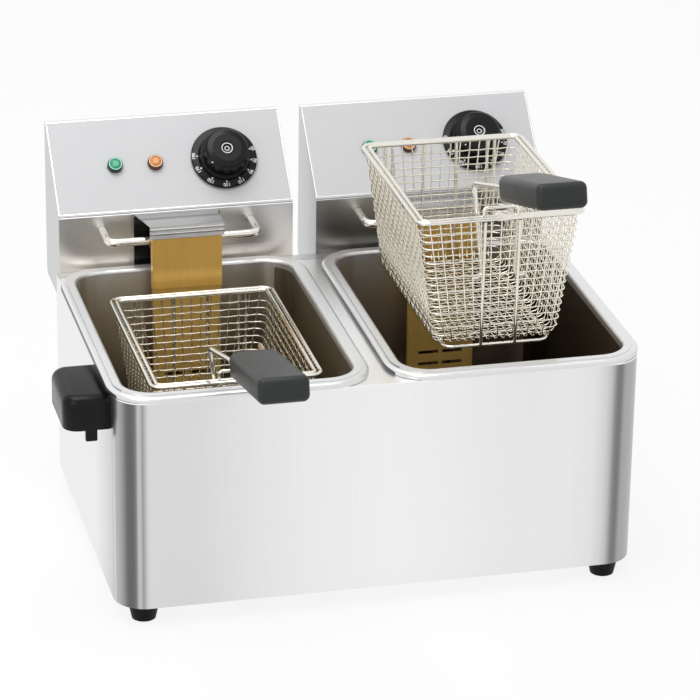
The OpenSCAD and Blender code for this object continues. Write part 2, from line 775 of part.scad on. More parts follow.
// Roof and front plate over the element's upper bends: tapering roof, beaded front band,
// and a plate set back behind it, with folded edges
module element_cover(side) {
    t = cover_sheet;
    rise = cover_front_z - cover_back_z;
    roof_l = norm([cover_out, rise]) - t / 2;
    plate_h = cover_front_z - cover_band / 2 + cover_reach;
    color("#cfcfcf") at_head(side) {
        translate([0, wall_y, cover_back_z]) rotate([-atan2(rise, cover_out), 0, 0])
            translate([0, 0, -t]) linear_extrude(t)
                polygon([[-cover_back_half, 0], [cover_back_half, 0],
                         [cover_half - t / 2, -roof_l], [t / 2 - cover_half, -roof_l]]);
        translate([-cover_half, -cover_out, cover_front_z - cover_band])
            cube([2 * cover_half, t, cover_band]);
        for (z = [bead_top, bead_top + bead_pitch])
            translate([0, -cover_out, cover_front_z - z]) rotate([0, 90, 0])
                cylinder(d = bead_d, h = 2 * cover_half - 2, center = true);
        translate([-guard_half, t / 2 - cover_out, -cover_reach]) {
            cube([2 * guard_half, t, plate_h]);
            translate([1, -t / 2, 1]) cube([2 * guard_half - 2, t, 1.6]);
            for (x = [0, 2 * guard_half - t]) translate([x, 0, 0]) cube([t, guard_fold, plate_h]);
        }
    }
}

// Lower guard plate between basket and element, with slots for the oil
module element_guard(side) {
    t = cover_sheet;
    half = guard_half - t - 0.1;
    color("#c4c0b6") at_head(side) translate([0, 1.5 * t + hair - cover_out, 0]) difference() {
        union() {
            translate([-half, 0, guard_bottom]) cube([2 * half, t, guard_top - guard_bottom]);
            for (x = [-half, half - t])
                translate([x, 0, guard_bottom]) cube([t, guard_fold - t, guard_top - guard_bottom]);
        }
        for (row = [0 : slot_rows - 1], s = [-1, 1])
            translate([s * (slot_l / 2 + 2), 0, -slot_top - row * slot_pitch])
                cube([slot_l, 4 * t, slot_h], center = true);
    }
}

// Tubular heating element: two risers and a loop over the tank's floor
module heating_element(side) {
    half = [[riser_x, head_depth / 3, riser_z], [riser_x, -riser_out, riser_z],
            [riser_x, -riser_out, element_z], [riser_x, -loop_back, element_z],
            [loop_x, -loop_back, element_z], [loop_x, -loop_far, element_z],
            [loop_mid_x, -loop_far, element_z], [loop_mid_x, -loop_turn, element_z]];
    n = len(half);
    path = [for (i = [0 : 2 * n - 1]) i < n ? half[i] : [-half[2 * n - 1 - i][0],
            half[2 * n - 1 - i][1], half[2 * n - 1 - i][2]]];
    color("#8c8c8c") at_head(side) {
        wire(path, element_d, element_r);
        for (x = [-riser_x, riser_x], y = [wall_y - 5, wall_y + head_sheet])
            translate([x, y, riser_z]) rotate([-90, 0, 0])
                cylinder(d = element_d * 2, h = 5, $fn = 6);
    }
}

// Temperature bulb between the risers, with its clip and capillary
module thermostat_bulb(side) {
    low = guard_bottom + 4;
    color("#b87333") at_head(side) {
        translate([0, -riser_out, low]) cylinder(d = bulb_d, h = bulb_l);
        wire([[0, -riser_out, low + bulb_l - 1], [0, -riser_out, riser_z], [0, head_depth / 3, riser_z]],
             capillary_d, 6);
        for (z = [low + 12, low + bulb_l - 12])
            translate([0, -riser_out, z])
                cube([2 * (riser_x - element_d / 2) - 0.4, 1.6, 8], center = true);
    }
}

// Chromed bar on which a basket hangs to drain, with its nuts inside the head
module hanging_bar(side) {
    inside = wall_y + head_sheet;
    color("#dedede") at_head(side) {
        wire([[-bar_half, inside + 12, bar_z], [-bar_half, -bar_out, bar_z],
              [bar_half, -bar_out, bar_z], [bar_half, inside + 12, bar_z]], bar_d, bar_r);
        for (x = [-bar_half, bar_half])
            translate([x, inside, bar_z]) rotate([-90, 0, 0])
                cylinder(d = bar_d * 1.8, h = 5, $fn = 6);
    }
}

// Signal lamp: bezel, pointed lens and body behind the panel
module lamp(side, x, lens)
    color(lens) at_panel(side) translate([-x, panel_mid, 0]) {
        cylinder(d1 = lamp_d, d2 = lamp_d - 1.6, h = 1.8);
        translate([0, 0, 1.8 - hair]) cylinder(d1 = lamp_body_d, d2 = lamp_body_d - 1, h = 1.4);
        translate([0, 0, 3.2 - 2 * hair]) cylinder(d1 = lamp_body_d - 1, d2 = 1.2, h = 3.2);
        translate([0, 0, -20]) cylinder(d = lamp_body_d, h = 20 + hair);
        translate([0, 0, -fascia_t - head_sheet - 3])
            cylinder(d = lamp_body_d + 4, h = 3, $fn = 6);
    }

// Thermostat behind the panel, with its shaft through it
module thermostat(side) {
    back = -fascia_t - head_sheet;
    color("#e6dfc8") at_panel(side) translate([knob_x, panel_mid, back]) {
        translate([0, 0, -plate_t / 2]) cube([thermo_w + 12, thermo_w - 8, plate_t], center = true);
        translate([0, 0, -plate_t - thermo_t / 2 + hair])
            cube([thermo_w, thermo_w, thermo_t], center = true);
        translate([0, 0, -plate_t]) cylinder(d = shaft_d, h = plate_t - back + knob_gap + knob_h / 2);
    }
}

// Temperature knob: dial skirt, waist and dished cap, with a nib on its edge
module knob(side) {
    waist = cap_d + 6;
    color("#111111") at_panel(side) translate([knob_x, panel_mid, knob_gap]) difference() {
        union() {
            rotate_extrude() difference() {
                polygon([[0, 0], [skirt_d / 2, 0], [skirt_d / 2, skirt_t - 1.6],
                         [skirt_d / 2 - 1, skirt_t - 0.6], [waist / 2 + 0.6, skirt_t],
                         [waist / 2 - 1.4, skirt_t + 6], [cap_d / 2, skirt_t + 6],
                         [cap_d / 2 - 0.8, knob_h - 2.6], [cap_d / 2 - 3, knob_h - 0.8],
                         [cap_d / 2 - 8, knob_h], [0, knob_h]]);
                translate([0, knob_h + cap_d / 4 - 2.6]) circle(cap_d / 4);
            }
            rotate(-140) translate([cap_d / 2 - 2, 0, knob_h - 5.4]) cylinder(d = 4, h = 3.2);
        }
        translate([0, 0, -1]) cylinder(d = shaft_d + 2 * shaft_fit, h = knob_h / 2 + 2);
    }
}

// Safety thermostat inside the rear wall, with a threaded neck for its button
module safety_thermostat(side)
    color("#2b2b2b") at_head(side) translate([button_x, rear_y, button_z]) rotate([-90, 0, 0])
        difference() {
            union() {
                translate([0, 0, -18]) cylinder(d = 26, h = 18);
                cylinder(d = neck_d, h = head_sheet + neck_out);
                translate([0, 0, head_sheet]) cylinder(d = neck_d + 5, h = 3, $fn = 6);
            }
            translate([0, 0, -button_deep]) cylinder(d = button_d + 2 * button_fit, h = 40);
        }

// Reset button of the safety thermostat
module reset_button(side)
    color("#a01818") at_head(side) translate([button_x, head_depth + neck_out, button_z])
        rotate([-90, 0, 0]) {
            translate([0, 0, -button_in]) cylinder(d = button_d, h = button_in + button_out);
            translate([0, 0, button_out - 0.8]) cylinder(d1 = button_d, d2 = button_d - 2, h = 1.6);
        }

// Gland through which the supply cord enters
module cord_gland(side)
    color("#161616") at_head(side) translate([gland_x, head_depth, gland_z]) rotate([-90, 0, 0])
        difference() {
            union() {
                cylinder(d = gland_d, h = 3);
                translate([0, 0, 3 - hair]) cylinder(d1 = gland_d - 4, d2 = gland_body, h = gland_out - 3);
                translate([0, 0, -head_sheet - 8]) cylinder(d = gland_body, h = head_sheet + 8 + hair);
                translate([0, 0, -head_sheet - 5]) cylinder(d = gland_d - 1, h = 5, $fn = 6);
            }
            translate([0, 0, -head_sheet - 9]) cylinder(d = gland_bore, h = gland_out + head_sheet + 10);
        }

// Screws in a head's rear wall
module case_screws(side)
    color("silver") at_head(side) at_case_screws() {
        cylinder(d1 = case_screw_d, d2 = case_screw_d - 2.4, h = 2.2);
        translate([0, 0, -head_sheet - 6]) cylinder(d = case_screw_shank, h = head_sheet + 6 + hair);
    }

// ---------------------------------------------------------------- baskets

// Half width of a basket and the place of its front wall, at a depth below the rim
function half_at(t) = basket_w / 2 - lean * t / basket_h;
function front_at(t) = basket_slope * t / basket_h;
function row_depth(i) = i * row_pitch;

// Frame of thick wires: two rim wires, one on each side of the uprights, with their sleeve, the
// bow between the legs of the handle, the struts, the loop under the floor and the two hooks
module basket_rim(side) {
    top = -rim_d / 2 - wire_gap;
    bow_y = rim_side + in_step;
    color("#d9d2bf") at_basket(side) {
        for (s = [-1, 1]) {
            out = s * rim_side - in_step;
            translate([0, basket_l / 2, 0])
                wire_loop(basket_w + 2 * out, basket_l + 2 * out, rim_d, basket_r + out);
        }
        translate([0, in_step - rim_side - (sleeve_d - rim_d) / 2 + wire_gap, 0]) rotate([0, 90, 0])
            cylinder(d = sleeve_d, h = 9, center = true);
        wire([[-bow_half, bow_y, -top], [-bow_half, bow_y, bow_rise],
              [bow_half, bow_y, bow_rise], [bow_half, bow_y, -top]], strut_d, strut_d);
        translate([0, (loop_front + loop_rear) / 2, loop_z])
            wire_loop(2 * loop_half_w, loop_rear - loop_front, strut_d, basket_r);
        for (s = [-1, 1]) {
            rod([s * strut_gap / 2, -strut_off, top],
                [s * strut_gap / 2, basket_slope - strut_off, loop_z], strut_d);
            rod([s * strut_gap / 2, basket_l + strut_off, top],
                [s * strut_gap / 2, basket_l + strut_off, loop_z], strut_d);
            for (x = [-hook_w / 2, hook_w / 2]) translate([s * hook_half + x, 0, 0]) hook(top);
        }
    }
}

// One wire of a hook: down the rear wall, back over the bar and down behind it
module hook(top) {
    y = basket_l + strut_off;
    bar_y = basket_l + hang_clear + strut_off + strut_d / 2 + cover_out - bar_out;
    far = bar_y + (bar_d + strut_d) / 2 + hook_play;
    z = strut_d / 2 - hook_drop;
    wire([[0, y, top], [0, y, z], [0, far, z], [0, far, z - bar_d]], strut_d, strut_d);
}

// Rows and uprights of the front (back = 0) or rear wall (back = 1). The uprights bend into the floor.
module end_mesh(back)
    color("#d9d2bf") {
        for (i = [1 : rows]) {
            t = row_depth(i);
            x = half_at(t) - basket_r;
            y = back == 0 ? front_at(t) : basket_l;
            rod([-x, y, -t], [x, y, -t], mesh_d);
        }
        for (k = [0 : uprights - 1]) end_upright(k, back);
    }

// One upright of the front (back = 0) or rear wall (back = 1), bent into the floor
module end_upright(k, back) {
    share = 2 * k / (uprights - 1) - 1;
    x0 = share * (basket_w / 2 - basket_r);
    x1 = share * (basket_floor_w / 2 - basket_r);
    y0 = back == 0 ? in_step : basket_l - in_step;
    y1 = back == 0 ? in_step + basket_slope : basket_l - in_step;
    y2 = back == 0 ? y1 + floor_r : y1 - floor_r;
    fine_wire([[x0, y0, 0], [x1, y1, -basket_h], [x1, y2, -basket_h]], mesh_d, floor_r * 0.9);
}

// Front and rear walls of a basket
module basket_front(side) at_basket(side) end_mesh(0);
module basket_rear(side) at_basket(side) end_mesh(1);

// One long wall: rows with their round corners, and uprights bent into the floor
module basket_side(side, s)
    color("#d9d2bf") at_basket(side) {
        for (i = [1 : rows]) {
            t = row_depth(i);
            x = half_at(t);
            fine_wire([[s * (x - basket_r), front_at(t), -t], [s * x, front_at(t), -t],
                       [s * x, basket_l, -t], [s * (x - basket_r), basket_l, -t]],
                      mesh_d, basket_r - 2 * hair);
        }
        for (k = [0 : stays - 1]) {
            y = stay_y(k);
            fine_wire([[s * stay_x(0), y, 0], [s * stay_x(basket_h + in_step), y, -basket_h - in_step],
                       [s * stay_floor, y, -basket_h - in_step]], mesh_d, floor_r * 0.8);
        }
    }

// Places of the long sides' uprights, and their distance from the middle at a depth
function stay_x(t) = half_at(t) - in_step * norm([lean, basket_h]) / basket_h;
function stay_y(k) = basket_l / 2 + basket_slope / 2 + (k - (stays - 1) / 2) * side_pitch;

// Floor: wires both ways
module basket_floor(side)
    color("#d9d2bf") at_basket(side) {
        for (k = [0 : uprights - 1]) {
            x = (2 * k / (uprights - 1) - 1) * (basket_floor_w / 2 - basket_r);
            rod([x, in_step + basket_slope + floor_r, -basket_h],
                [x, basket_l - in_step - floor_r, -basket_h], mesh_d);
        }
        for (k = [0 : stays - 1])
            rod([-stay_floor, stay_y(k), -basket_h - in_step],
                [stay_floor, stay_y(k), -basket_h - in_step], mesh_d);
    }

// Half width between the wires at a distance in front of the top bend
function wire_half(run) = top_half - (top_half - entry_half) * run / handle_reach;

// Handle wire: feet hooked outward behind the front wall, legs, top bends and the run into
// the grip
module handle_wire(side) {
    into = handle_reach + hold_l / 2;
    c = cos(handle_tilt) * into;
    w = sin(handle_tilt) * into;
    color("#d9d2bf") at_legs(side) for (s = [-1, 1])
        fine_wire([[s * (foot_half + foot_out), foot_y, -foot_depth],
                   [s * foot_half, foot_y, -foot_depth],
                   [s * top_half, leg_y, handle_rise],
                   [s * wire_half(into), leg_y - c, handle_rise + w]], handle_d, 5);
}

// Plastic grip over the two wires, with finger ribs underneath
module handle_grip(side) {
    r = hold_r;
    x = hold_w / 2 - r;
    z = hold_t / 2 - r;
    color("#3a3d3d") at_handle(side) difference() {
        union() {
            hull() {
                for (sx = [-1, 1], sz = [-1, 1]) {
                    translate([sx * x, -hold_end + r, sz * z]) sphere(r, $fn = 32);
                    translate([sx * x, -hold_start - 2 * r, sz * z]) sphere(r, $fn = 32);
                    translate([sx * x * 0.62, -hold_start - r, sz * z]) sphere(r, $fn = 32);
                }
            }
            for (i = [0 : 5])
                translate([0, -hold_start - hold_l * (0.22 + 0.11 * i), -hold_t / 2])
                    rotate([0, 90, 0]) cylinder(d = 3.4, h = 2 * x, center = true, $fn = 24);
        }
        for (s = [-1, 1])
            rod([s * wire_half(hold_start + hold_l / 2 + 1), -hold_start - hold_l / 2 - 1, 0],
                [s * wire_half(0), 0, 0], handle_d + 0.2);
    }
}

housing_shell();
deck_plate();
rear_panel();
base_plate();
feet();
foot_screws();
carry_handle();
handle_screws();
head_brackets();
tank(LEFT);  // tank_left
head_case(LEFT);  // head_case_left
head_panel(LEFT);  // head_panel_left
element_cover(LEFT);  // element_cover_left
element_guard(LEFT);  // element_guard_left
heating_element(LEFT);  // heating_element_left
hanging_bar(LEFT);  // hanging_bar_left
lamp(LEFT, lamp_green_x, "#1f9a5a");  // lamp_green_left
lamp(LEFT, lamp_orange_x, "#e07a2a");  // lamp_orange_left
thermostat(LEFT);  // thermostat_left
thermostat_bulb(LEFT);  // thermostat_bulb_left
safety_thermostat(LEFT);  // safety_thermostat_left
cord_gland(LEFT);  // cord_gland_left
reset_button(LEFT);  // reset_button_left
case_screws(LEFT);  // case_screws_left
knob(LEFT);  // knob_left
basket_rim(LEFT);  // basket_rim_left
basket_front(LEFT);  // basket_front_left
basket_rear(LEFT);  // basket_rear_left
basket_side(LEFT, -1);  // basket_side_a_left
basket_side(LEFT, 1);  // basket_side_b_left
basket_floor(LEFT);  // basket_floor_left
handle_wire(LEFT);  // handle_wire_left
handle_grip(LEFT);  // handle_grip_left
tank(RIGHT);  // tank_right
head_case(RIGHT);  // head_case_right
head_panel(RIGHT);  // head_panel_right
element_cover(RIGHT);  // element_cover_right
element_guard(RIGHT);  // element_guard_right
heating_element(RIGHT);  // heating_element_right
hanging_bar(RIGHT);  // hanging_bar_right
lamp(RIGHT, lamp_green_x, "#1f9a5a");  // lamp_green_right
lamp(RIGHT, lamp_orange_x, "#e07a2a");  // lamp_orange_right
thermostat(RIGHT);  // thermostat_right
thermostat_bulb(RIGHT);  // thermostat_bulb_right
safety_thermostat(RIGHT);  // safety_thermostat_right
cord_gland(RIGHT);  // cord_gland_right
reset_button(RIGHT);  // reset_button_right
case_screws(RIGHT);  // case_screws_right
knob(RIGHT);  // knob_right
basket_rim(RIGHT);  // basket_rim_right
basket_front(RIGHT);  // basket_front_right
basket_rear(RIGHT);  // basket_rear_right
basket_side(RIGHT, -1);  // basket_side_a_right
basket_side(RIGHT, 1);  // basket_side_b_right
basket_floor(RIGHT);  // basket_floor_right
handle_wire(RIGHT);  // handle_wire_right
handle_grip(RIGHT);  // handle_grip_right
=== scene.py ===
"""Double table-top deep fryer with two tanks: finishes, dials, lamps, grips and woven baskets."""
import json
import math

import bpy
from mathutils import Matrix, Vector


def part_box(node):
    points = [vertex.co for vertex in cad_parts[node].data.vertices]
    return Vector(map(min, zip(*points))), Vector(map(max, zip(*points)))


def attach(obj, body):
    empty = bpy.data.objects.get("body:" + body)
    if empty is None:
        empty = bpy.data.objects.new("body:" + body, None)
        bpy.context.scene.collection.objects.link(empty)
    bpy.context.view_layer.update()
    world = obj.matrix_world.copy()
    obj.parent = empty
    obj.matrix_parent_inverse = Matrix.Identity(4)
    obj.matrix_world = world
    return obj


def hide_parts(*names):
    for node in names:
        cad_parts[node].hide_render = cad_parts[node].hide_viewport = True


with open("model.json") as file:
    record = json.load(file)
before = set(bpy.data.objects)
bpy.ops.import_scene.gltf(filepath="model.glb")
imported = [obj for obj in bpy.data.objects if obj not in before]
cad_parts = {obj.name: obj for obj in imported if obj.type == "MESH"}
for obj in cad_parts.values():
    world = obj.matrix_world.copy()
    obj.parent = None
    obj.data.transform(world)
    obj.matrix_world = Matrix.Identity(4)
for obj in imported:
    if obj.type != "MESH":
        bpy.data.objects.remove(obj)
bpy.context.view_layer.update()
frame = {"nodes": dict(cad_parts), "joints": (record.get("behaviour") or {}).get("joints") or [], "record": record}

SIDES = ("left", "right")
JOINTS = {joint["name"]: joint for joint in frame["joints"]}
MM = 0.001


# ---------------------------------------------------------------- camera, floor and light

CAMERA_TURNS = (14.09, 23.05, 0.88)            # degrees round the fryer, down, and on its axis
CAMERA_PLACE = Vector((-0.7318, -2.7845, 1.4578))              # from the foot of the housing's front
CAMERA_LENS = 182.2
WORLD_LIGHT = 0.52
FLOOR_GLOW = 0.86                              # share of plain white in the floor as it is seen
FLOOR_SIZE = 16
STUDIO_LAMPS = (("key", (-0.5, 0.0, 3.0), 2.0, 52), ("fill", (-2.0, -2.0, 1.8), 1.8, 14))
LIT_POINT = (0, 0, 0.2)


def linked(name, data):
    """New object in the scene, from its data."""
    item = bpy.data.objects.new(name, data)
    bpy.context.scene.collection.objects.link(item)
    return item


def deselect():
    bpy.ops.object.select_all(action="DESELECT")


def choose(*pieces):
    """Selects these pieces and nothing else, with the first one active."""
    deselect()
    for piece in pieces:
        piece.select_set(True)
    bpy.context.view_layer.objects.active = pieces[0]


def add_camera():
    """Camera in front on the left, looking down at the fryer."""
    yaw, pitch, roll = (math.radians(angle) for angle in CAMERA_TURNS)
    data = bpy.data.cameras.new("camera")
    data.lens = CAMERA_LENS
    data.clip_end = 50
    camera = linked("camera", data)
    turn = Matrix.Rotation(-yaw, 4, "Z") @ Matrix.Rotation(math.pi / 2 - pitch, 4, "X")
    low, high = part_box("housing_shell")
    front = Vector(((low[0] + high[0]) / 2, low[1], low[2]))
    place = Matrix.Translation(front + CAMERA_PLACE)
    camera.matrix_world = place @ turn @ Matrix.Rotation(roll, 4, "Z")
    bpy.context.scene.camera = camera


def seen_directly(tree):
    """1 where a camera, glossy or transmission ray arrives, else 0."""
    path = tree.nodes.new("ShaderNodeLightPath").outputs
    seen = calc(tree, "MAXIMUM", path["Is Camera Ray"], path["Is Glossy Ray"])
    return calc(tree, "MAXIMUM", seen, path["Is Transmission Ray"])


def plain_shader(tree, kind, colour, strength=None):
    """Background, diffuse or glowing shader of one colour."""
    node = tree.nodes.new(kind)
    node.inputs["Color"].default_value = (*colour, 1)
    if strength is not None:
        node.inputs["Strength"].default_value = strength
    return node.outputs[0]


def mix_out(tree, share, first, second, end):
    """Sends a mix of two shaders to a surface output."""
    mix = tree.nodes.new("ShaderNodeMixShader")
    for socket, value in zip(mix.inputs, (share, first, second)):
        tree.links.new(value, socket)
    tree.links.new(mix.outputs[0], tree.nodes.new(end).inputs["Surface"])


def add_world():
    """Soft white surroundings that show as plain white."""
    world = bpy.data.worlds.new("studio")
    bpy.context.scene.world = world
    world.use_nodes = True
    tree = world.node_tree
    tree.nodes.clear()
    light = plain_shader(tree, "ShaderNodeBackground", (0.97, 0.98, 1), WORLD_LIGHT)
    white = plain_shader(tree, "ShaderNodeBackground", (1, 1, 1), 1)
    mix_out(tree, seen_directly(tree), light, white, "ShaderNodeOutputWorld")


def add_floor():
    """Pale floor that keeps a soft shadow under the fryer."""
    deselect()
    bpy.ops.mesh.primitive_plane_add(size=FLOOR_SIZE, location=(0, 0, 0))
    floor = bpy.context.object
    floor.name = "floor"
    material = bpy.data.materials.new("pale floor")
    material.use_nodes = True
    tree = material.node_tree
    tree.nodes.clear()
    paint = plain_shader(tree, "ShaderNodeBsdfDiffuse", (0.9, 0.9, 0.9))
    glow = plain_shader(tree, "ShaderNodeEmission", (1, 1, 1))
    share = calc(tree, "MULTIPLY", seen_directly(tree), FLOOR_GLOW)
    mix_out(tree, share, paint, glow, "ShaderNodeOutputMaterial")
    floor.data.materials.append(material)


def add_lamp(name, place, size, power):
    """Square soft light at a place, aimed at the fryer."""
    data = bpy.data.lights.new(name, "AREA")
    data.size = size
    data.energy = power
    lamp = linked(name, data)
    lamp.location = place
    lamp.rotation_euler = (Vector(LIT_POINT) - Vector(place)).to_track_quat("-Z", "Y").to_euler()


# ---------------------------------------------------------------- finishes

COMMON_INPUTS = {"Colour": "Color", "Roughness": "Float", "Height": "Float"}
OUTPUTS = {"Colour": "Color", "Roughness": "Float", "Normal": "Vector"}
LINES_SHARE, CLOUDS_SHARE = 0.7, 0.3           # of the change in brushed sheet
SCRATCH_DEPTH, GRAIN_DEPTH = 0.0002, 0.0001


def group(name, inputs):
    """Node group of an effect, with the common inputs and its own, and its three outputs."""
    tree = bpy.data.node_groups.new(name, "ShaderNodeTree")
    for way, sockets in (("INPUT", COMMON_INPUTS | inputs), ("OUTPUT", OUTPUTS)):
        for label, kind in sockets.items():
            tree.interface.new_socket(label, in_out=way, socket_type=f"NodeSocket{kind}")
    return tree, tree.nodes.new("NodeGroupInput").outputs, tree.nodes.new("NodeGroupOutput").inputs


def vector_calc(tree, operation, first, second, socket=1):
    """One step on vectors. The second value is a socket or a fixed vector."""
    node = tree.nodes.new("ShaderNodeVectorMath")
    node.operation = operation
    tree.links.new(first, node.inputs[0])
    if isinstance(second, Vector):
        node.inputs[socket].default_value = second
    else:
        tree.links.new(second, node.inputs[socket])
    return node.outputs["Value" if operation == "DOT_PRODUCT" else "Vector"]


def place_on(tree):
    """Where on the object a point of the surface is."""
    return tree.nodes.new("ShaderNodeTexCoord").outputs["Object"]


def normal_of(tree):
    """Which way the surface faces."""
    return tree.nodes.new("ShaderNodeNewGeometry").outputs["Normal"]


def along(tree, vector, axis):
    """A vector's value along one axis."""
    split = tree.nodes.new("ShaderNodeSeparateXYZ")
    tree.links.new(vector, split.inputs[0])
    return split.outputs[axis]


def end_group(tree, inp, out, off, relief, distance):
    """Changes colour and roughness by an offset and raises a relief."""
    shade = vector_calc(tree, "SCALE", inp["Colour"], calc(tree, "ADD", off, 1), "Scale")
    tree.links.new(shade, out["Colour"])
    tree.links.new(calc(tree, "ADD", inp["Roughness"], off), out["Roughness"])
    bump = tree.nodes.new("ShaderNodeBump")
    bump.inputs["Distance"].default_value = distance
    tree.links.new(inp["Height"], bump.inputs["Strength"])
    tree.links.new(relief, bump.inputs["Height"])
    tree.links.new(bump.outputs[0], out["Normal"])
    return tree


def noise(tree, vector, scale, detail, roughness=0.5):
    """Smooth noise, from 0 to 1. The scale is a number or a socket."""
    node = tree.nodes.new("ShaderNodeTexNoise")
    node.inputs["Detail"].default_value = detail
    node.inputs["Roughness"].default_value = roughness
    tree.links.new(vector, node.inputs["Vector"])
    if isinstance(scale, (int, float)):
        node.inputs["Scale"].default_value = scale
    else:
        tree.links.new(scale, node.inputs["Scale"])
    return node.outputs["Fac"]


def calc(tree, operation, first, second):
    """One step on two values, each of them a number or a socket."""
    node = tree.nodes.new("ShaderNodeMath")
    node.operation = operation
    for socket, value in zip(node.inputs, (first, second)):
        if isinstance(value, (int, float)):
            socket.default_value = value
        else:
            tree.links.new(value, socket)
    return node.outputs[0]


def brushed_group():
    """Long fine scratches and broad clouds on sheet metal."""
    tree, inp, out = group("brushed sheet", {"Stretch": "Vector", "Contrast": "Float"})
    place = place_on(tree)
    stretched = vector_calc(tree, "MULTIPLY", place, inp["Stretch"])
    lines = noise(tree, stretched, scale=1, detail=3, roughness=0.65)
    clouds = noise(tree, place, scale=9, detail=2)
    both = calc(tree, "ADD", calc(tree, "MULTIPLY", lines, LINES_SHARE),
                calc(tree, "MULTIPLY", clouds, CLOUDS_SHARE))
    off = calc(tree, "MULTIPLY", calc(tree, "SUBTRACT", both, 0.5), inp["Contrast"])
    return end_group(tree, inp, out, off, lines, SCRATCH_DEPTH)


def grain_group():
    """Fine moulded grain with faint smudges."""
    tree, inp, out = group("moulded grain", {"Scale": "Float", "Smudge": "Float"})
    place = place_on(tree)
    grain = noise(tree, place, scale=inp["Scale"], detail=1)
    smudge = noise(tree, place, scale=45, detail=3)
    off = calc(tree, "MULTIPLY", calc(tree, "SUBTRACT", smudge, 0.5), inp["Smudge"])
    return end_group(tree, inp, out, off, grain, GRAIN_DEPTH)


BRUSHED = brushed_group()
GRAIN = grain_group()


def ramp(tree, value, stops):
    """Grey or colour that follows a value through its stops."""
    node = tree.nodes.new("ShaderNodeValToRGB")
    band = node.color_ramp
    while len(band.elements) < len(stops):
        band.elements.new(0.5)
    for element, (place, colour) in zip(band.elements, stops):
        element.position = place
        element.color = (*colour, 1) if isinstance(colour, tuple) else (colour, colour, colour, 1)
    tree.links.new(value, node.inputs[0])
    return node.outputs["Color"]


def axis_share(tree, axis, start, end):
    """0 to 1 along one axis of the object, held at both ends."""
    node = tree.nodes.new("ShaderNodeMapRange")
    node.inputs["From Min"].default_value = start
    node.inputs["From Max"].default_value = end
    tree.links.new(along(tree, place_on(tree), axis), node.inputs["Value"])
    return node.outputs[0]


def tint(material, colour):
    """Multiplies a finish's colour by a colour that changes over the surface."""
    tree = material.node_tree
    target = tree.nodes["Principled BSDF"].inputs["Base Color"]
    mix = tree.nodes.new("ShaderNodeMix")
    mix.data_type = "RGBA"
    mix.blend_type = "MULTIPLY"
    mix.inputs["Factor"].default_value = 1
    tree.links.new(target.links[0].from_socket, mix.inputs["A"])
    tree.links.new(colour, mix.inputs["B"])
    tree.links.new(mix.outputs["Result"], target)


def finish(name, effect, values, **shader):
    """Material whose colour, roughness and normal come from an effect group."""
    material = bpy.data.materials.new(name)
    material.use_nodes = True
    tree = material.node_tree
    principled = tree.nodes["Principled BSDF"]
    node = tree.nodes.new("ShaderNodeGroup")
    node.node_tree = effect
    for label, value in values.items():
        node.inputs[label].default_value = value
    tree.links.new(node.outputs["Colour"], principled.inputs["Base Color"])
    tree.links.new(node.outputs["Roughness"], principled.inputs["Roughness"])
    tree.links.new(node.outputs["Normal"], principled.inputs["Normal"])
    for label, value in shader.items():
        principled.inputs[label.replace("_", " ")].default_value = value
    return material


UPRIGHT, LEVEL = (1500, 1500, 14), (14, 1500, 1500)            # which way the brushing runs
SATIN, DRAWN, FILMED = (260, 260, 260), (300, 300, 300), (300, 300, 20)
POLISHED = (400, 400, 400)


def metal(name, colour, roughness, contrast=0.12, height=0.08, stretch=UPRIGHT, metallic=1):
    """Sheet, tube or wire with fine marks from rolling or drawing."""
    return finish(name, BRUSHED, {"Colour": (*colour, 1), "Roughness": roughness, "Contrast": contrast,
                                  "Height": height, "Stretch": stretch}, Metallic=metallic)


def filmed_sheet(name, colour):
    """Sheet metal under a thin film of baked oil."""
    return metal(name, colour, 0.34, 0.22, 0.08, FILMED, 0.35)


def plastic(name, colour, roughness, smudge=0.15, height=0.1, scale=1500, **shader):
    """Moulded or printed plastic, rubber, glass-like lens or ceramic."""
    return finish(name, GRAIN, {"Colour": (*colour, 1), "Roughness": roughness, "Smudge": smudge,
                                "Height": height, "Scale": scale}, **shader)


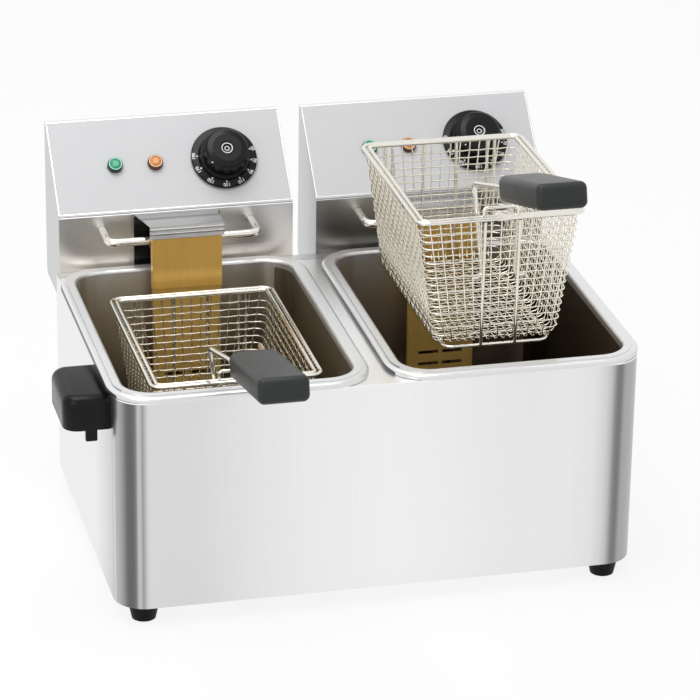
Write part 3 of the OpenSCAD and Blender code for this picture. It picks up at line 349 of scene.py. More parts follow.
def make_finishes():
    """All finishes, by the name of their slot or of the scene's own piece."""
    return {
        "housing_steel": metal("housing steel", (0.97, 0.97, 0.97), 0.30, 0.12, 0.10),
        "rear_steel": metal("rear steel", (0.72, 0.72, 0.72), 0.36),
        "tank_steel": metal("tank steel", (0.77, 0.77, 0.77), 0.30, 0.10, 0.05, SATIN, 0.75),
        "head_steel": metal("head steel", (0.82, 0.82, 0.82), 0.30, 0.14, 0.08, LEVEL),
        "guard_steel": filmed_sheet("amber guard steel", (0.80, 0.52, 0.14)),
        "panel_foil": plastic("panel foil", (0.575, 0.575, 0.582), 0.5, 0.05, 0.05, 2200,
                              Metallic=0.15, Specular_IOR_Level=0.3),
        "chromed_wire": metal("chromed wire", (0.80, 0.775, 0.71), 0.12, 0.08, 0.02, POLISHED),
        "element_tube": metal("element tube", (0.36, 0.34, 0.33), 0.42, 0.25, 0.1, DRAWN),
        "black_plastic": plastic("black moulding", (0.006, 0.006, 0.006), 0.24, 0.06, 0.03,
                                 Specular_IOR_Level=0.16),
        "grip_plastic": plastic("grip moulding", (0.034, 0.036, 0.035), 0.38, 0.10, 0.25,
                                Specular_IOR_Level=0.2),
        "dial_plastic": plastic("dial moulding", (0.006, 0.006, 0.006), 0.22, 0.08, 0.06,
                                Specular_IOR_Level=0.2),
        "green_lens": plastic("green lens", (0.02, 0.36, 0.17), 0.08, 0.02, 0.0),
        "orange_lens": plastic("orange lens", (0.72, 0.26, 0.05), 0.08, 0.02, 0.0),
        "red_plastic": plastic("red button", (0.45, 0.02, 0.02), 0.25),
        "foot_rubber": plastic("foot rubber", (0.006, 0.006, 0.006), 0.5, 0.1, 0.4, Specular_IOR_Level=0.12),
        "zinc_steel": metal("zinc plated steel", (0.62, 0.63, 0.64), 0.38, 0.2, 0.05, DRAWN),
        "steatite": plastic("steatite body", (0.72, 0.66, 0.52), 0.6, 0.1, 0.2),
        "copper_bulb": metal("copper bulb", (0.72, 0.42, 0.27), 0.3, 0.2, 0.05, DRAWN),
        "white_print": plastic("white print", (0.85, 0.85, 0.85), 0.5, 0.05, 0.02),
        "mesh_wire": metal("mesh wire", (0.88, 0.84, 0.74), 0.16, 0.10, 0.02, DRAWN),
        "bright_edge": metal("bright edge", (0.80, 0.80, 0.80), 0.22, 0.05, 0.02, DRAWN),
        # Lamp bases and rings are dark and pale copies of their lens colours: painted shade on a lens's side and a
        # painted highlight on its rim.
        "green_base": plastic("green base", (0.003, 0.030, 0.018), 0.10, 0.05, 0.0),
        "green_ring": plastic("green ring", (0.36, 0.78, 0.60), 0.18, 0.05, 0.0),
        "orange_base": plastic("orange base", (0.10, 0.022, 0.007), 0.10, 0.05, 0.0),
        "orange_ring": plastic("orange ring", (0.92, 0.62, 0.36), 0.18, 0.05, 0.0),
    }


FINISH = make_finishes()


def facing(tree, axis, limit):
    """1 where a surface faces either way along an axis, by more than a limit."""
    return calc(tree, "GREATER_THAN", calc(tree, "ABSOLUTE", along(tree, normal_of(tree), axis), 0), limit)


def facing_down(tree, axis, limit):
    """1 where a surface faces down an axis, by more than a limit."""
    return calc(tree, "LESS_THAN", along(tree, normal_of(tree), axis), -limit)


def towards(tree, middle):
    """1 where a surface faces the middle of its piece, as the inside of a tank does."""
    away = vector_calc(tree, "SUBTRACT", place_on(tree), middle)
    return calc(tree, "LESS_THAN", vector_calc(tree, "DOT_PRODUCT", away, normal_of(tree)), 0)


def only_where(tree, mask, shade):
    """A colour or a grey where the mask is 1, white where it is 0."""
    mix = tree.nodes.new("ShaderNodeMix")
    mix.data_type = "RGBA"
    mix.inputs["A"].default_value = (1, 1, 1, 1)
    tree.links.new(mask, mix.inputs["Factor"])
    if isinstance(shade, (int, float)):
        mix.inputs["B"].default_value = (shade, shade, shade, 1)
    else:
        tree.links.new(shade, mix.inputs["B"])
    return mix.outputs["Result"]


def own_finish(node, kind, name):
    """A node's own copy of a finish, to take painted light and shade by place."""
    material = FINISH[kind].copy()
    material.name = name
    frame["nodes"][node].data.materials[0] = material
    return material, material.node_tree


# How squarely a surface has to face a way to count as facing it.
HOUSING_SIDE, HEAD_SIDE, FLANGE_EDGE, WALL_OR_ROOF = 0.98, 0.9, 0.85, 0.5

# Ramp stops are (share of the way, grey or colour); most tables here paint light, shade and reflection into a
# finish's colour.
# Painted reflection of dark upright bands on the housing's round corners, and painted shade across its front,
# lightest in the middle.
HOUSING_PAINTED_LIGHT = (
    (0.0, 0.90), (0.0015, 0.52), (0.008, 0.45), (0.0162, 0.26), (0.0182, 0.18), (0.0255, 0.14),
    (0.0347, 0.18), (0.0374, 0.56), (0.0434, 0.56), (0.0464, 0.35), (0.0497, 0.41), (0.0531, 0.65),
    (0.06, 0.76), (0.15, 0.76), (0.26, 0.84), (0.37, 0.90), (0.52, 0.925), (0.64, 0.90), (0.75, 0.86),
    (0.86, 0.86), (0.905, 0.82), (0.927, 0.70), (0.9375, 0.54), (0.945, 0.30), (0.951, 0.20),
    (0.959, 0.24), (0.963, 0.40), (0.9916, 0.46), (1.0, 0.60),
)
# Painted shade on the housing's side walls, darker towards the front over this depth.
SIDE_DEPTH = 0.3
SIDE_PAINTED_SHADE = ((0.09, 0.66), (0.2, 0.80), (0.38, 0.98), (1.0, 1.0))
# Painted shade and warm painted reflection inside a tank: dark at the floor, warm halfway up, white at the flange.
TANK_PAINTED_LIGHT = (
    (0.0, (0.20, 0.17, 0.135)), (0.35, (0.30, 0.25, 0.18)), (0.7, (0.66, 0.56, 0.42)),
    (0.93, (0.96, 0.90, 0.80)), (0.965, (0.99, 0.99, 0.98)), (1.0, (1.0, 1.0, 1.0)),
)
# Painted shade on the right wall inside each tank, darkest in the right tank.
RIGHT_WALL_PAINTED_SHADE = {
    "left": ((0.0, (0.5, 0.42, 0.3)), (0.5, (0.5, 0.42, 0.3)), (0.95, (0.35, 0.31, 0.26))),
    "right": ((0.0, (0.20, 0.16, 0.12)), (0.5, (0.18, 0.15, 0.12)), (0.95, (0.16, 0.15, 0.14))),
}
FLANGE_FROM = 0.955                            # share of a tank's height where its flange starts
# Painted shadow along the flange's left outer edge, where it stands above the deck.
FLANGE_EDGE_PAINTED_SHADOW = 0.12
# Painted reflection of the tank and deck on a head's front wall, from the bottom up: warm on the left head, dark
# on the right.
HEAD_PAINTED_REFLECTIONS = {
    "left": ((0.0, (1.0, 0.92, 0.80)), (0.3, (1.0, 0.96, 0.91)), (0.5, 0.92), (1.0, 1.0)),
    "right": ((0.0, (0.26, 0.26, 0.24)), (0.3, (0.30, 0.29, 0.27)), (0.5, (0.62, 0.62, 0.61)),
              (0.65, 0.92), (1.0, 1.0)),
}
# Painted shade on a head's side walls.
HEAD_SIDE_PAINTED_SHADE = 0.70
COVER_TOP = 0.020                              # height of the band and roof that have their own shades
# Steel colour of the cover; painted shade makes its roof grey.
COVER_STEEL, COVER_ROOF_PAINTED_SHADE = (0.92, 0.92, 0.91), 0.48
COVER_AMBER = (0.92, 0.56, 0.135)
COVER_SHADES = (
    (0.0, COVER_AMBER), (0.31, COVER_AMBER), (0.33, (0.6, 0.58, 0.54)), (0.38, 0.95), (0.52, 0.95),
    (0.55, 0.35), (0.59, 0.35), (0.62, 1.0), (0.74, 1.0), (0.77, 0.45), (0.80, 0.45), (0.83, 1.0),
    (1.0, 1.0),
)
COVER_METAL = ((0.0, 0.35), (0.31, 0.35), (0.33, 0.6), (1.0, 0.6))


def paint_housing_light():
    """Painted reflection: dark upright bands on the round corners. Painted shade: a soft front, lightest in the
    middle, and side walls darker towards the front.
    """
    low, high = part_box("housing_shell")
    material, tree = own_finish("housing_shell", "housing_steel", "housing shell steel")
    tint(material, ramp(tree, axis_share(tree, "X", low[0], high[0]), HOUSING_PAINTED_LIGHT))
    # Painted shade on the side walls, darker towards the front.
    depth = ramp(tree, axis_share(tree, "Y", low[1], low[1] + SIDE_DEPTH), SIDE_PAINTED_SHADE)
    tint(material, only_where(tree, facing(tree, "X", HOUSING_SIDE), depth))


def paint_tank_light(side):
    """Bright flange with a painted shadow on its left edge; inside, painted warm reflection on the walls, the
    right one darker, and painted shade towards the dark floor.
    """
    low, high = (Vector(corner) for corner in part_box(f"tank_{side}"))
    material, tree = own_finish(f"tank_{side}", "tank_steel", f"tank steel {side}")
    height = axis_share(tree, "Z", low.z, high.z)
    inside = towards(tree, (low + high) / 2)
    tint(material, only_where(tree, inside, ramp(tree, height, TANK_PAINTED_LIGHT)))
    wall = calc(tree, "MULTIPLY", calc(tree, "LESS_THAN", height, FLANGE_FROM), inside)
    right_wall = calc(tree, "MULTIPLY", facing_down(tree, "X", WALL_OR_ROOF), wall)
    tint(material, only_where(tree, right_wall, ramp(tree, height, RIGHT_WALL_PAINTED_SHADE[side])))
    flange = calc(tree, "MULTIPLY", calc(tree, "GREATER_THAN", height, FLANGE_FROM),
                  calc(tree, "SUBTRACT", 1, inside))
    # Painted shadow on the flange's left outer edge.
    shadowed_edge = calc(tree, "MULTIPLY", flange, facing_down(tree, "X", FLANGE_EDGE))
    tint(material, only_where(tree, shadowed_edge, FLANGE_EDGE_PAINTED_SHADOW))


def paint_head_light(side):
    """Painted reflection of the deck and tank on a head's front wall, and painted shade on its side walls."""
    low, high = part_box(f"head_case_{side}")
    material, tree = own_finish(f"head_case_{side}", "head_steel", f"head steel {side}")
    front = facing_down(tree, "Y", WALL_OR_ROOF)
    height = axis_share(tree, "Z", low[2], high[2])
    tint(material, only_where(tree, front, ramp(tree, height, HEAD_PAINTED_REFLECTIONS[side])))
    tint(material, only_where(tree, facing(tree, "X", HEAD_SIDE), HEAD_SIDE_PAINTED_SHADE))


def paint_cover_film_and_shade(side):
    """Amber film on the plate, a bright folded band with two dark lines above it, and painted shade that makes the
    roof grey.
    """
    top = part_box(f"element_cover_{side}")[1][2]
    material = filmed_sheet(f"cover steel {side}", COVER_STEEL)
    tree = material.node_tree
    height = axis_share(tree, "Z", top - COVER_TOP, top)
    tint(material, ramp(tree, height, COVER_SHADES))
    tint(material, only_where(tree, facing(tree, "Z", WALL_OR_ROOF), COVER_ROOF_PAINTED_SHADE))
    tree.links.new(ramp(tree, height, COVER_METAL), tree.nodes["Principled BSDF"].inputs["Metallic"])
    frame["nodes"][f"element_cover_{side}"].data.materials[0] = material


def dress_cad():
    """Every CAD node gets the finish of its record slot, and the large sheets get painted light and shade by
    place.
    """
    slots = {entry["node"]: entry["material_slot"] for entry in frame["record"]["subparts"]}
    slots["rear_panel"] = "rear_steel"
    for side in SIDES:
        slots[f"element_guard_{side}"] = "guard_steel"
    for name, node in frame["nodes"].items():
        node.data.materials.clear()
        node.data.materials.append(FINISH[slots[name]])
    paint_housing_light()
    for side in SIDES:
        paint_tank_light(side)
        paint_head_light(side)
        paint_cover_film_and_shade(side)


# ---------------------------------------------------------------- making and seating pieces

X, Y, Z = range(3)
AT_LIMIT, UPRIGHT_LIMIT = 0.001, 0.01          # how near counts as there, and how tall as upright
DOWNWARD = -0.9


def put(piece, place):
    """Moves a fresh piece to its place, which goes into its mesh."""
    choose(piece)
    piece.matrix_world = place @ piece.matrix_world
    bpy.ops.object.transform_apply(location=True, rotation=True, scale=True)


def block(size, centre):
    """Box of a size, ready for its edges."""
    deselect()
    bpy.ops.mesh.primitive_cube_add(size=1, location=centre, scale=size)
    bpy.ops.object.transform_apply(location=True, rotation=True, scale=True)
    return bpy.context.object


def disc(radius, depth, centre, sides=48, top=None):
    """Round bar or cone standing on z, from its middle."""
    deselect()
    if top is None:
        bpy.ops.mesh.primitive_cylinder_add(vertices=sides, radius=radius, depth=depth, location=centre)
    else:
        bpy.ops.mesh.primitive_cone_add(vertices=sides, radius1=radius, radius2=top, depth=depth,
                                        location=centre)
    bpy.ops.object.transform_apply(location=True)
    return bpy.context.object


def hoop(major, minor, centre, flat=1.0):
    """Ring of round or flattened section, lying level."""
    deselect()
    bpy.ops.mesh.primitive_torus_add(major_radius=major, minor_radius=minor, major_segments=48,
                                     minor_segments=10, location=centre)
    bpy.context.object.scale = (1, 1, flat)
    bpy.ops.object.transform_apply(location=True, scale=True)
    return bpy.context.object


def round_edges(piece, width, segments, angle=30):
    """Rounds every sharp edge of a piece."""
    bevel = piece.modifiers.new("rounding", "BEVEL")
    bevel.width = width
    bevel.segments = segments
    bevel.limit_method = "ANGLE"
    bevel.angle_limit = math.radians(angle)
    bpy.context.view_layer.objects.active = piece
    bpy.ops.object.modifier_apply(modifier=bevel.name)


def clear_choice(piece, kind):
    """Makes a piece active with none of its edges or faces chosen."""
    choose(piece)
    bpy.ops.object.mode_set(mode="EDIT")
    bpy.ops.mesh.select_mode(type=kind)
    bpy.ops.mesh.select_all(action="DESELECT")
    bpy.ops.object.mode_set(mode="OBJECT")


def at(axis, value, *ends):
    """Whether points lie at one place along an axis."""
    return all(abs(end[axis] - value) < AT_LIMIT for end in ends)


def upright(a, b):
    """Whether an edge from a to b is one of the upright ones."""
    return abs(a.z - b.z) > UPRIGHT_LIMIT


def round_chosen(piece, chosen, width, segments):
    """Rounds the edges that a test on their two ends picks out."""
    clear_choice(piece, "EDGE")
    points = piece.data.vertices
    for edge in piece.data.edges:
        edge.select = chosen(points[edge.vertices[0]].co, points[edge.vertices[1]].co)
    bpy.ops.object.mode_set(mode="EDIT")
    bpy.ops.mesh.bevel(offset=width, segments=segments, affect="EDGES")
    bpy.ops.object.mode_set(mode="OBJECT")


def drop_faces(piece, chosen):
    """Takes away the faces that a test on their normal picks out."""
    clear_choice(piece, "FACE")
    for face in piece.data.polygons:
        face.select = chosen(face.normal)
    bpy.ops.object.mode_set(mode="EDIT")
    bpy.ops.mesh.delete(type="FACE")
    bpy.ops.object.mode_set(mode="OBJECT")


def joined(pieces):
    """One piece from several."""
    choose(*pieces)
    bpy.ops.object.join()
    return bpy.context.object


def painted(piece, kind):
    """Gives a piece one finish."""
    piece.data.materials.clear()
    piece.data.materials.append(FINISH[kind])
    return piece


def smooth(piece, angle=35):
    """Shades a piece smooth, except across edges sharper than an angle."""
    choose(piece)
    bpy.ops.object.shade_smooth_by_angle(angle=math.radians(angle))


def seat(piece, name, body, stands_for=()):
    """Names a piece, lets it ride on its body and hides the nodes it stands for."""
    piece.name = piece.data.name = name
    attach(piece, body)
    if stands_for:
        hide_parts(*stands_for)


def wires(name, runs, radius, kind):
    """Round wires along runs of points, as one mesh."""
    curve = bpy.data.curves.new(name, "CURVE")
    curve.dimensions = "3D"
    curve.bevel_depth = radius
    curve.bevel_resolution = 1
    curve.use_fill_caps = True
    for points, closed in runs:
        spline = curve.splines.new("POLY")
        spline.points.add(len(points) - 1)
        for place, point in zip(spline.points, points):
            place.co = (*point, 1)
        spline.use_cyclic_u = closed
    choose(linked(name, curve))
    bpy.ops.object.convert(target="MESH")
    bpy.ops.object.shade_smooth()
    return painted(bpy.context.object, kind)


# ---------------------------------------------------------------- woven baskets

BASKET_W, BASKET_FLOOR_W, BASKET_L, BASKET_H = 152, 116, 210, 120
BASKET_SLOPE, BASKET_CORNER = 4, 9
MESH_D, ROW_TOP, ROW_PITCH, ROWS = 1.3, 12, 7.1, 15
UPRIGHTS, STAYS, STAY_PITCH = 15, 27, 7
LAYER = 1.35                                   # from one wire layer to the next
MID = LAYER / 2                                # middle of the woven wall, inside the rows' plane
WAVE = 0.675                                   # how far a wire swings to each side of it
FLOOR_BEND = 6
RIM_ABOVE, RIM_BELOW = 1.2, -1                # where a wire ends, and where its weaving may start
CORNER_TURNS = (22, 45, 68)
FOOT_DEPTH, FOOT_Y = 58, 6.48333
LEG_Y, HANDLE_RISE, HANDLE_TILT = 9.50833, 29, 12
HANDLE_LEAN = {"left": 0, "right": 4.5}
HANDLE_REACH, HOLD_L, HOLD_W, HOLD_T = 72, 129, 45, 23


def basket_place(side):
    """Middle of a basket's front wall, at its rim."""
    foot = Vector(JOINTS[f"handle_{side}_fold"]["pos_m"])
    return Matrix.Translation(foot - Vector((0, FOOT_Y, -FOOT_DEPTH)) * MM)


def half_at(depth):
    """Half of a basket's width at a depth under its rim."""
    return BASKET_W / 2 - (BASKET_W - BASKET_FLOOR_W) / 2 * depth / BASKET_H


def front_at(depth):
    """How far the sloping front wall has gone back at a depth."""
    return BASKET_SLOPE * depth / BASKET_H


def stay_y(k):
    """How far back the wire of a number down the long walls is."""
    return BASKET_L / 2 + BASKET_SLOPE / 2 + (k - (STAYS - 1) / 2) * STAY_PITCH


def row_depth(i):
    """Depth of a woven row, counted from the rim."""
    return ROW_TOP + (i - 1) * ROW_PITCH


def share_of(k):
    """-1 to 1 across the end wall for its wires."""
    return 2 * k / (UPRIGHTS - 1) - 1


def column_x(k, depth):
    """Where an upright of an end wall is at a depth: the walls narrow towards the floor."""
    top, low = BASKET_W / 2 - BASKET_CORNER, BASKET_FLOOR_W / 2 - BASKET_CORNER
    return share_of(k) * (top + (low - top) * depth / BASKET_H)


def swing(step):
    """Side of the wall's middle on which a wire passes, turn and turn about."""
    return WAVE if step % 2 else -WAVE


def row_run(i):
    """One woven loop round the basket: it passes each upright on alternate sides."""
    depth = row_depth(i)
    half, front, back = half_at(depth) - MID, front_at(depth) + MID, BASKET_L - MID
    radius = BASKET_CORNER - MID
    step = i
    run = []
    for k in range(UPRIGHTS):
        run.append((column_x(k, depth), front - swing(step), -depth))
        step += 1
    run += corner_run(half - radius, front + radius, radius, -90, depth)
    for k in range(STAYS):
        run.append((half + swing(step), stay_y(k), -depth))
        step += 1
    run += corner_run(half - radius, back - radius, radius, 0, depth)
    for k in reversed(range(UPRIGHTS)):
        run.append((column_x(k, depth), back + swing(step), -depth))
        step += 1
    run += corner_run(-half + radius, back - radius, radius, 90, depth)
    for k in reversed(range(STAYS)):
        run.append((-half - swing(step), stay_y(k), -depth))
        step += 1
    run += corner_run(-half + radius, front + radius, radius, 180, depth)
    return run


def corner_run(x, y, radius, start, depth):
    """Points of a row round one corner of a basket."""
    return [(x + radius * math.cos(math.radians(start + turn)),
             y + radius * math.sin(math.radians(start + turn)), -depth) for turn in CORNER_TURNS]


def bend_run(a, corner, b, radius):
    """Points of a round bend at a corner between two straight stretches."""
    a, corner, b = Vector(a), Vector(corner), Vector(b)
    u, v = (corner - a).normalized(), (b - corner).normalized()
    angle = math.acos(max(-1, min(1, u.dot(v))))
    back = radius * math.tan(angle / 2)
    start = corner - u * back
    inward = (v - u * u.dot(v)).normalized()
    return [start + u * radius * math.sin(angle * t) + inward * radius * (1 - math.cos(angle * t))
            for t in (0, 0.25, 0.5, 0.75, 1)]


def end_run(k):
    """One wire down the front wall, along the floor and up the rear wall."""
    top, low = column_x(k, 0), column_x(k, BASKET_H)
    floor = -BASKET_H - MID
    a, b = (top, MID, RIM_ABOVE), (low, BASKET_SLOPE + MID, floor)
    c, e = (low, BASKET_L - MID, floor), (top, BASKET_L - MID, RIM_ABOVE)
    run = [a, (top, MID, RIM_BELOW)]
    for i in range(1, ROWS + 1):
        depth = row_depth(i)
        run.append((column_x(k, depth), front_at(depth) + MID + swing(i + k), -depth))
    run += bend_run(a, b, c, FLOOR_BEND)
    for j in range(STAYS):
        if b[1] + FLOOR_BEND + 1 < stay_y(j) < c[1] - FLOOR_BEND - 1:
            run.append((low, stay_y(j), floor + swing(j + k)))
    run += bend_run(b, c, e, FLOOR_BEND)
    first = 2 * UPRIGHTS + STAYS - 1 - k
    for i in range(ROWS, 0, -1):
        depth = row_depth(i)
        run.append((column_x(k, depth), BASKET_L - MID - swing(i + first), -depth))
    return run + [(top, BASKET_L - MID, RIM_BELOW), e]


def side_run(k):
    """One wire down a long wall, across the floor and up the other long wall."""
    y = stay_y(k)
    floor = -BASKET_H - MID
    top, low = half_at(0) - MID, half_at(BASKET_H) - MID
    a, b, c, e = (top, y, RIM_ABOVE), (low, y, floor), (-low, y, floor), (-top, y, RIM_ABOVE)
    right, left = UPRIGHTS + k, 2 * UPRIGHTS + 2 * STAYS - 1 - k
    run = [a, (top, y, RIM_BELOW)]
    for i in range(1, ROWS + 1):
        depth = row_depth(i)
        run.append((half_at(depth) - MID - swing(i + right), y, -depth))
    run += bend_run(a, b, c, FLOOR_BEND)
    for j in reversed(range(UPRIGHTS)):
        run.append((column_x(j, BASKET_H), y, floor - swing(k + j)))
    run += bend_run(b, c, e, FLOOR_BEND)
    for i in range(ROWS, 0, -1):
        depth = row_depth(i)
        run.append((-half_at(depth) + MID + swing(i + left), y, -depth))
    return run + [(-top, y, RIM_BELOW), e]


def weave_basket(side):
    """Woven wire walls and floor of one basket."""
    runs = [(row_run(i), True) for i in range(1, ROWS + 1)]
    runs += [(end_run(k), False) for k in range(UPRIGHTS)]
    runs += [(side_run(k), False) for k in range(STAYS)]
    runs = [([Vector(point) * MM for point in run], closed) for run, closed in runs]
    piece = wires(f"basket_mesh_{side}", runs, MESH_D / 2 * MM, "mesh_wire")
    put(piece, basket_place(side))
    parts = [f"basket_{part}_{side}" for part in ("front", "rear", "side_a", "side_b", "floor")]
    seat(piece, f"basket_mesh_{side}", f"basket_{side}", parts)


# ---------------------------------------------------------------- grips and carry handle

# Sizes are in metres, and roundings are (width, steps).
GRIP_INNER_END, GRIP_OUTER_END, GRIP_EDGES, GRIP_SHARP = (0.013, 7), (0.006, 5), (0.0062, 5), 40
RIBS, RIB_FROM, RIB_STEP = 6, 0.22, 0.11       # the places are shares of the grip's length
RIB_SIZE, RIB_EDGES = (0.030, 0.0036, 0.0030), (0.0013, 3)
SHELL_END, SHELL_TOP, SHELL_EDGES, SHELL_SHARP = (0.014, 8), (0.009, 6), (0.0009, 2), 50
SHELL_WALL = 0.004
LUG_SIZE, LUG_AT = (0.0105, 0.0045, 0.0135), (0.0245, 0.0035, -0.0045)
LUG_FOOT, LUG_EDGES = (0.0016, 3), (0.0012, 3)


def grip_place(side):
    """Top bend of a basket's handle: y back towards the basket, z out of the grip."""
    foot = Vector((0, FOOT_Y, -FOOT_DEPTH)) * MM
    lean = Matrix.Rotation(-math.radians(HANDLE_LEAN[side]), 4, "X")
    bend = Matrix.Translation(Vector((0, LEG_Y, HANDLE_RISE)) * MM)
    tilt = Matrix.Rotation(-math.radians(HANDLE_TILT), 4, "X")
    return basket_place(side) @ Matrix.Translation(foot) @ lean @ Matrix.Translation(-foot) @ bend @ tilt


def make_grip(side):
    """Moulded grip: rounded block, rounder at its inner end, with finger ribs underneath."""
    near, far = -HANDLE_REACH * MM, -(HANDLE_REACH + HOLD_L) * MM
    body = block(Vector((HOLD_W, HOLD_L, HOLD_T)) * MM, (0, (near + far) / 2, 0))
    round_chosen(body, lambda a, b: at(Y, near, a, b) and upright(a, b), *GRIP_INNER_END)
    round_chosen(body, lambda a, b: at(Y, far, a, b) and upright(a, b), *GRIP_OUTER_END)
    round_edges(body, *GRIP_EDGES, GRIP_SHARP)
    ribs = []
    for i in range(RIBS):
        rib = block(RIB_SIZE, (0, near - HOLD_L * MM * (RIB_FROM + RIB_STEP * i), -HOLD_T / 2 * MM))
        round_edges(rib, *RIB_EDGES)
        ribs.append(rib)
    grip = joined([body] + ribs)
    painted(grip, "grip_plastic")
    smooth(grip)
    put(grip, grip_place(side))
    seat(grip, f"handle_grip_piece_{side}", f"handle_{side}", [f"handle_grip_{side}"])


def make_carry_handle():
    """Moulded carry handle: a round-cornered shell, open underneath, with a lug at its front."""
    low, high = (Vector(corner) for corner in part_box("carry_handle"))
    shell = block(high - low, (low + high) / 2)
    round_chosen(shell, lambda a, b: at(X, low.x, a, b) and upright(a, b), *SHELL_END)
    round_chosen(shell, lambda a, b: at(Z, high.z, a, b) and not at(X, high.x, a, b), *SHELL_TOP)
    drop_faces(shell, lambda normal: normal.z < DOWNWARD)
    wall = shell.modifiers.new("wall", "SOLIDIFY")
    wall.thickness = SHELL_WALL
    wall.offset = -1
    bpy.ops.object.modifier_apply(modifier=wall.name)
    round_edges(shell, *SHELL_EDGES, SHELL_SHARP)
    lug_middle = low + Vector(LUG_AT)
    lug = block(LUG_SIZE, lug_middle)
    foot = lug_middle.z - LUG_SIZE[Z] / 2
    round_chosen(lug, lambda a, b: at(Z, foot, a, b), *LUG_FOOT)
    round_edges(lug, *LUG_EDGES)
    handle = joined([shell, lug])
    painted(handle, "black_plastic")
    smooth(handle)
    seat(handle, "carry_handle_moulding", "housing", ["carry_handle"])


# ---------------------------------------------------------------- dials, lamps and panel

# Places on a panel are in millimetres, the sizes of what is put there in metres.
DIAL_NUMBERS = (("50", 13), ("70", 348), ("90", 323), ("110", 296), ("130", 267), ("150", 236),
                ("170", 204), ("190", 175.5))
SKIRT_TOP, SKIRT_EDGE, SKIRT_FALL = 5.0, 25.6, 0.111
SIGNAL_LAMPS = (("green", -106), ("orange", -67))
NUMBER_HEIGHT, CAPITAL_SHARE = 0.0034, 0.72    # a capital's share of its letter size
NUMBER_RADIUS, DOT_RADIUS, MARK_RADIUS = 29.5, 26.5, 20.3
NUMBER_LIFT, DOT_LIFT = 0.04, 0.05
DOT_SIZE, DOT_SIDES, PRINT_T = 0.00085, 16, 0.0002
MARK_EDGES, BASE_EDGES, LENS_EDGES = (0.00008, 1), (0.0010, 3), (0.0002, 2)
FOLD_EDGES, SHADE_PLATE_EDGES = (0.0001, 2), (0.0006, 2)
DISH_RINGS, RING_FLAT = ((0.0052, 0.00055, 23.75), (0.0021, 0.0004, 22.66)), 0.35
MARK_SIZE, MARK_TURN, MARK_UP = (0.0034, 0.0011, PRINT_T), -140, 22.9
LAMP_BASE, LAMP_BASE_TOP, LAMP_BASE_T = 0.0078, 0.0070, 0.0052
LAMP_RING, LAMP_RING_WIRE, LAMP_RING_FLAT, LAMP_RING_UP = 0.0058, 0.0006, 0.8, 0.0053
LAMP_LENS, LAMP_LENS_TOP, LAMP_LENS_T, LAMP_LENS_UP = 0.0052, 0.0030, 0.0012, 0.0057
LENS_FACETS = 10
FOLD_IN, FOLD_W, FOLD_SHORT = 0.8, 0.8, 2      # a fold is shorter than its side of the panel
FOOT_FOLD_IN, FOOT_FOLD_W, FOOT_FOLD_SHORT = 1.6, 0.9, 3
FOLD_T, FOLD_UP = 0.0003, 0.1
PANEL_ENDS = 1                                 # from each end of a panel's box to its slope's end
# A black plate stands for the shade under an element's cover: its size, how far it stands out from the wall, and
# its height above the deck.
SHADE_PLATE_SIZE, SHADE_PLATE_OUT, SHADE_PLATE_UP = (0.0835, 0.0016, 0.0490), 0.0009, 0.0272
DECK_UP = 0.029                                # the deck, above the foot of a head's case


def panel_place(side, x=0, y=0, z=0, turn=0):
    """Place on a front panel, in millimetres from the dial's axis: y up the slope, z out."""
    joint = JOINTS[f"knob_{side}_turn"]
    out = -Vector(joint["axis"])
    right = Vector((1, 0, 0))
    up = out.cross(right)
    spot = Vector(joint["pos_m"]) + (right * x + up * y + out * z) * MM
    place = Matrix((right, up, out)).transposed().to_4x4()
    place.translation = spot
    return place @ Matrix.Rotation(math.radians(turn), 4, "Z")


def dial_place(side, radius, angle, height, turn=0):
    """Place on a dial, from its distance and direction from the axis."""
    around = math.radians(angle)
    return panel_place(side, radius * math.cos(around), radius * math.sin(around), height, turn)


def dial_height(radius):
    """Height of the dial's sloping skirt at a distance from its axis."""
    return SKIRT_TOP - SKIRT_FALL * (radius - SKIRT_EDGE)


def number_print(text, height):
    """Flat printed number, from its middle."""
    deselect()
    bpy.ops.object.text_add()
    number = bpy.context.object
    number.data.body = text
    number.data.size = height / CAPITAL_SHARE
    number.data.align_x = "CENTER"
    number.data.align_y = "CENTER"
    number.data.extrude = 0.00004
    number.data.offset = 0.0001
    bpy.ops.object.convert(target="MESH")
    return bpy.context.object


def print_dial(side):
    """White numbers and dots on the dial's skirt, a ring in the cap's dish and the pointer's mark."""
    prints = []
    for text, angle in DIAL_NUMBERS:
        number = number_print(text, NUMBER_HEIGHT)
        place = dial_place(side, NUMBER_RADIUS, angle, dial_height(NUMBER_RADIUS) + NUMBER_LIFT, angle - 90)
        put(number, place @ Matrix.Rotation(-math.atan(SKIRT_FALL), 4, "X"))
        dot = disc(DOT_SIZE, PRINT_T, (0, 0, 0), DOT_SIDES)
        put(dot, dial_place(side, DOT_RADIUS, angle, dial_height(DOT_RADIUS) + DOT_LIFT))
        prints += [number, dot]
    for radius, wire, height in DISH_RINGS:
        ring = hoop(radius, wire, (0, 0, 0), RING_FLAT)
        put(ring, panel_place(side, z=height))
        prints.append(ring)
    mark = block(MARK_SIZE, (0, 0, 0))
    round_edges(mark, *MARK_EDGES)
    put(mark, dial_place(side, MARK_RADIUS, MARK_TURN, MARK_UP, MARK_TURN))
    whole = joined(prints + [mark])
    painted(whole, "white_print")
    seat(whole, f"dial_print_{side}", f"knob_{side}")


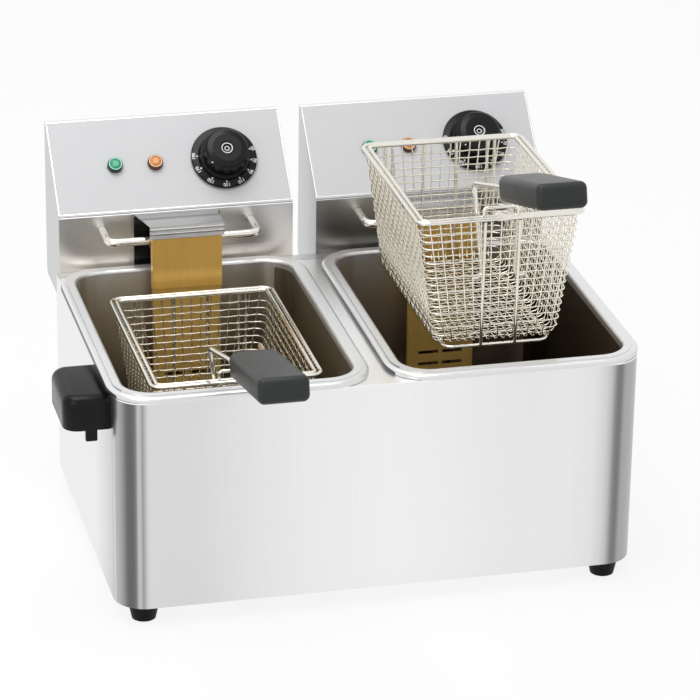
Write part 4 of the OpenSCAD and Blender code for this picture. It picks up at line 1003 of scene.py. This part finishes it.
def make_lamp(side, colour, x):
    """Signal lamp: a faceted lens in a dark glossy base and a pale ring, which are painted shade on the lens's
    side and a painted highlight on its rim.
    """
    base = disc(LAMP_BASE, LAMP_BASE_T, (0, 0, LAMP_BASE_T / 2), top=LAMP_BASE_TOP)
    round_edges(base, *BASE_EDGES)
    painted(base, f"{colour}_base")
    smooth(base)
    ring = hoop(LAMP_RING, LAMP_RING_WIRE, (0, 0, LAMP_RING_UP), LAMP_RING_FLAT)
    painted(ring, f"{colour}_ring")
    smooth(ring, 80)
    lens = disc(LAMP_LENS, LAMP_LENS_T, (0, 0, LAMP_LENS_UP), LENS_FACETS, LAMP_LENS_TOP)
    round_edges(lens, *LENS_EDGES)
    painted(lens, f"{colour}_lens")
    lamp = joined([base, ring, lens])
    put(lamp, panel_place(side, x))
    seat(lamp, f"signal_lamp_{colour}_{side}", f"head_{side}",
         [f"lamp_{colour}_{side}"])


def edge_panel(side):
    """Bright folded edges of a front panel along its foot and its two sides."""
    low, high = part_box(f"head_panel_{side}")
    dial = Vector(JOINTS[f"knob_{side}_turn"]["pos_m"])
    left, right = (low[0] - dial.x) / MM, (high[0] - dial.x) / MM
    half = math.hypot(high[1] - low[1], high[2] - low[2]) / 2 / MM - PANEL_ENDS
    strips = []
    for x, y, width, length in (
            (left + FOLD_IN, 0, FOLD_W, 2 * half - FOLD_SHORT),
            (right - FOLD_IN, 0, FOLD_W, 2 * half - FOLD_SHORT),
            ((left + right) / 2, FOOT_FOLD_IN - half, right - left - FOOT_FOLD_SHORT, FOOT_FOLD_W)):
        strip = block((width * MM, length * MM, FOLD_T), (0, 0, 0))
        round_edges(strip, *FOLD_EDGES)
        put(strip, panel_place(side, x, y, FOLD_UP))
        strips.append(strip)
    whole = joined(strips)
    painted(whole, "bright_edge")
    seat(whole, f"panel_edges_{side}", f"head_{side}")


def make_element_shade_plate(side):
    """Black plate on a head's front wall, behind the element's cover: a dark sheet that stands for the shade under
    the cover.
    """
    low, high = (Vector(corner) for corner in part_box(f"head_case_{side}"))
    middle = ((low.x + high.x) / 2, low.y - SHADE_PLATE_OUT, low.z + DECK_UP + SHADE_PLATE_UP)
    plate = block(SHADE_PLATE_SIZE, middle)
    round_edges(plate, *SHADE_PLATE_EDGES)
    painted(plate, "black_plastic")
    smooth(plate)
    seat(plate, f"element_shade_plate_{side}", f"head_{side}")


add_camera()
add_world()
add_floor()
for lamp in STUDIO_LAMPS:
    add_lamp(*lamp)
dress_cad()
make_carry_handle()
for side in SIDES:
    weave_basket(side)
    make_grip(side)
    print_dial(side)
    edge_panel(side)
    make_element_shade_plate(side)
    for colour, x in SIGNAL_LAMPS:
        make_lamp(side, colour, x)
bpy.context.scene.view_settings.view_transform = "Standard"
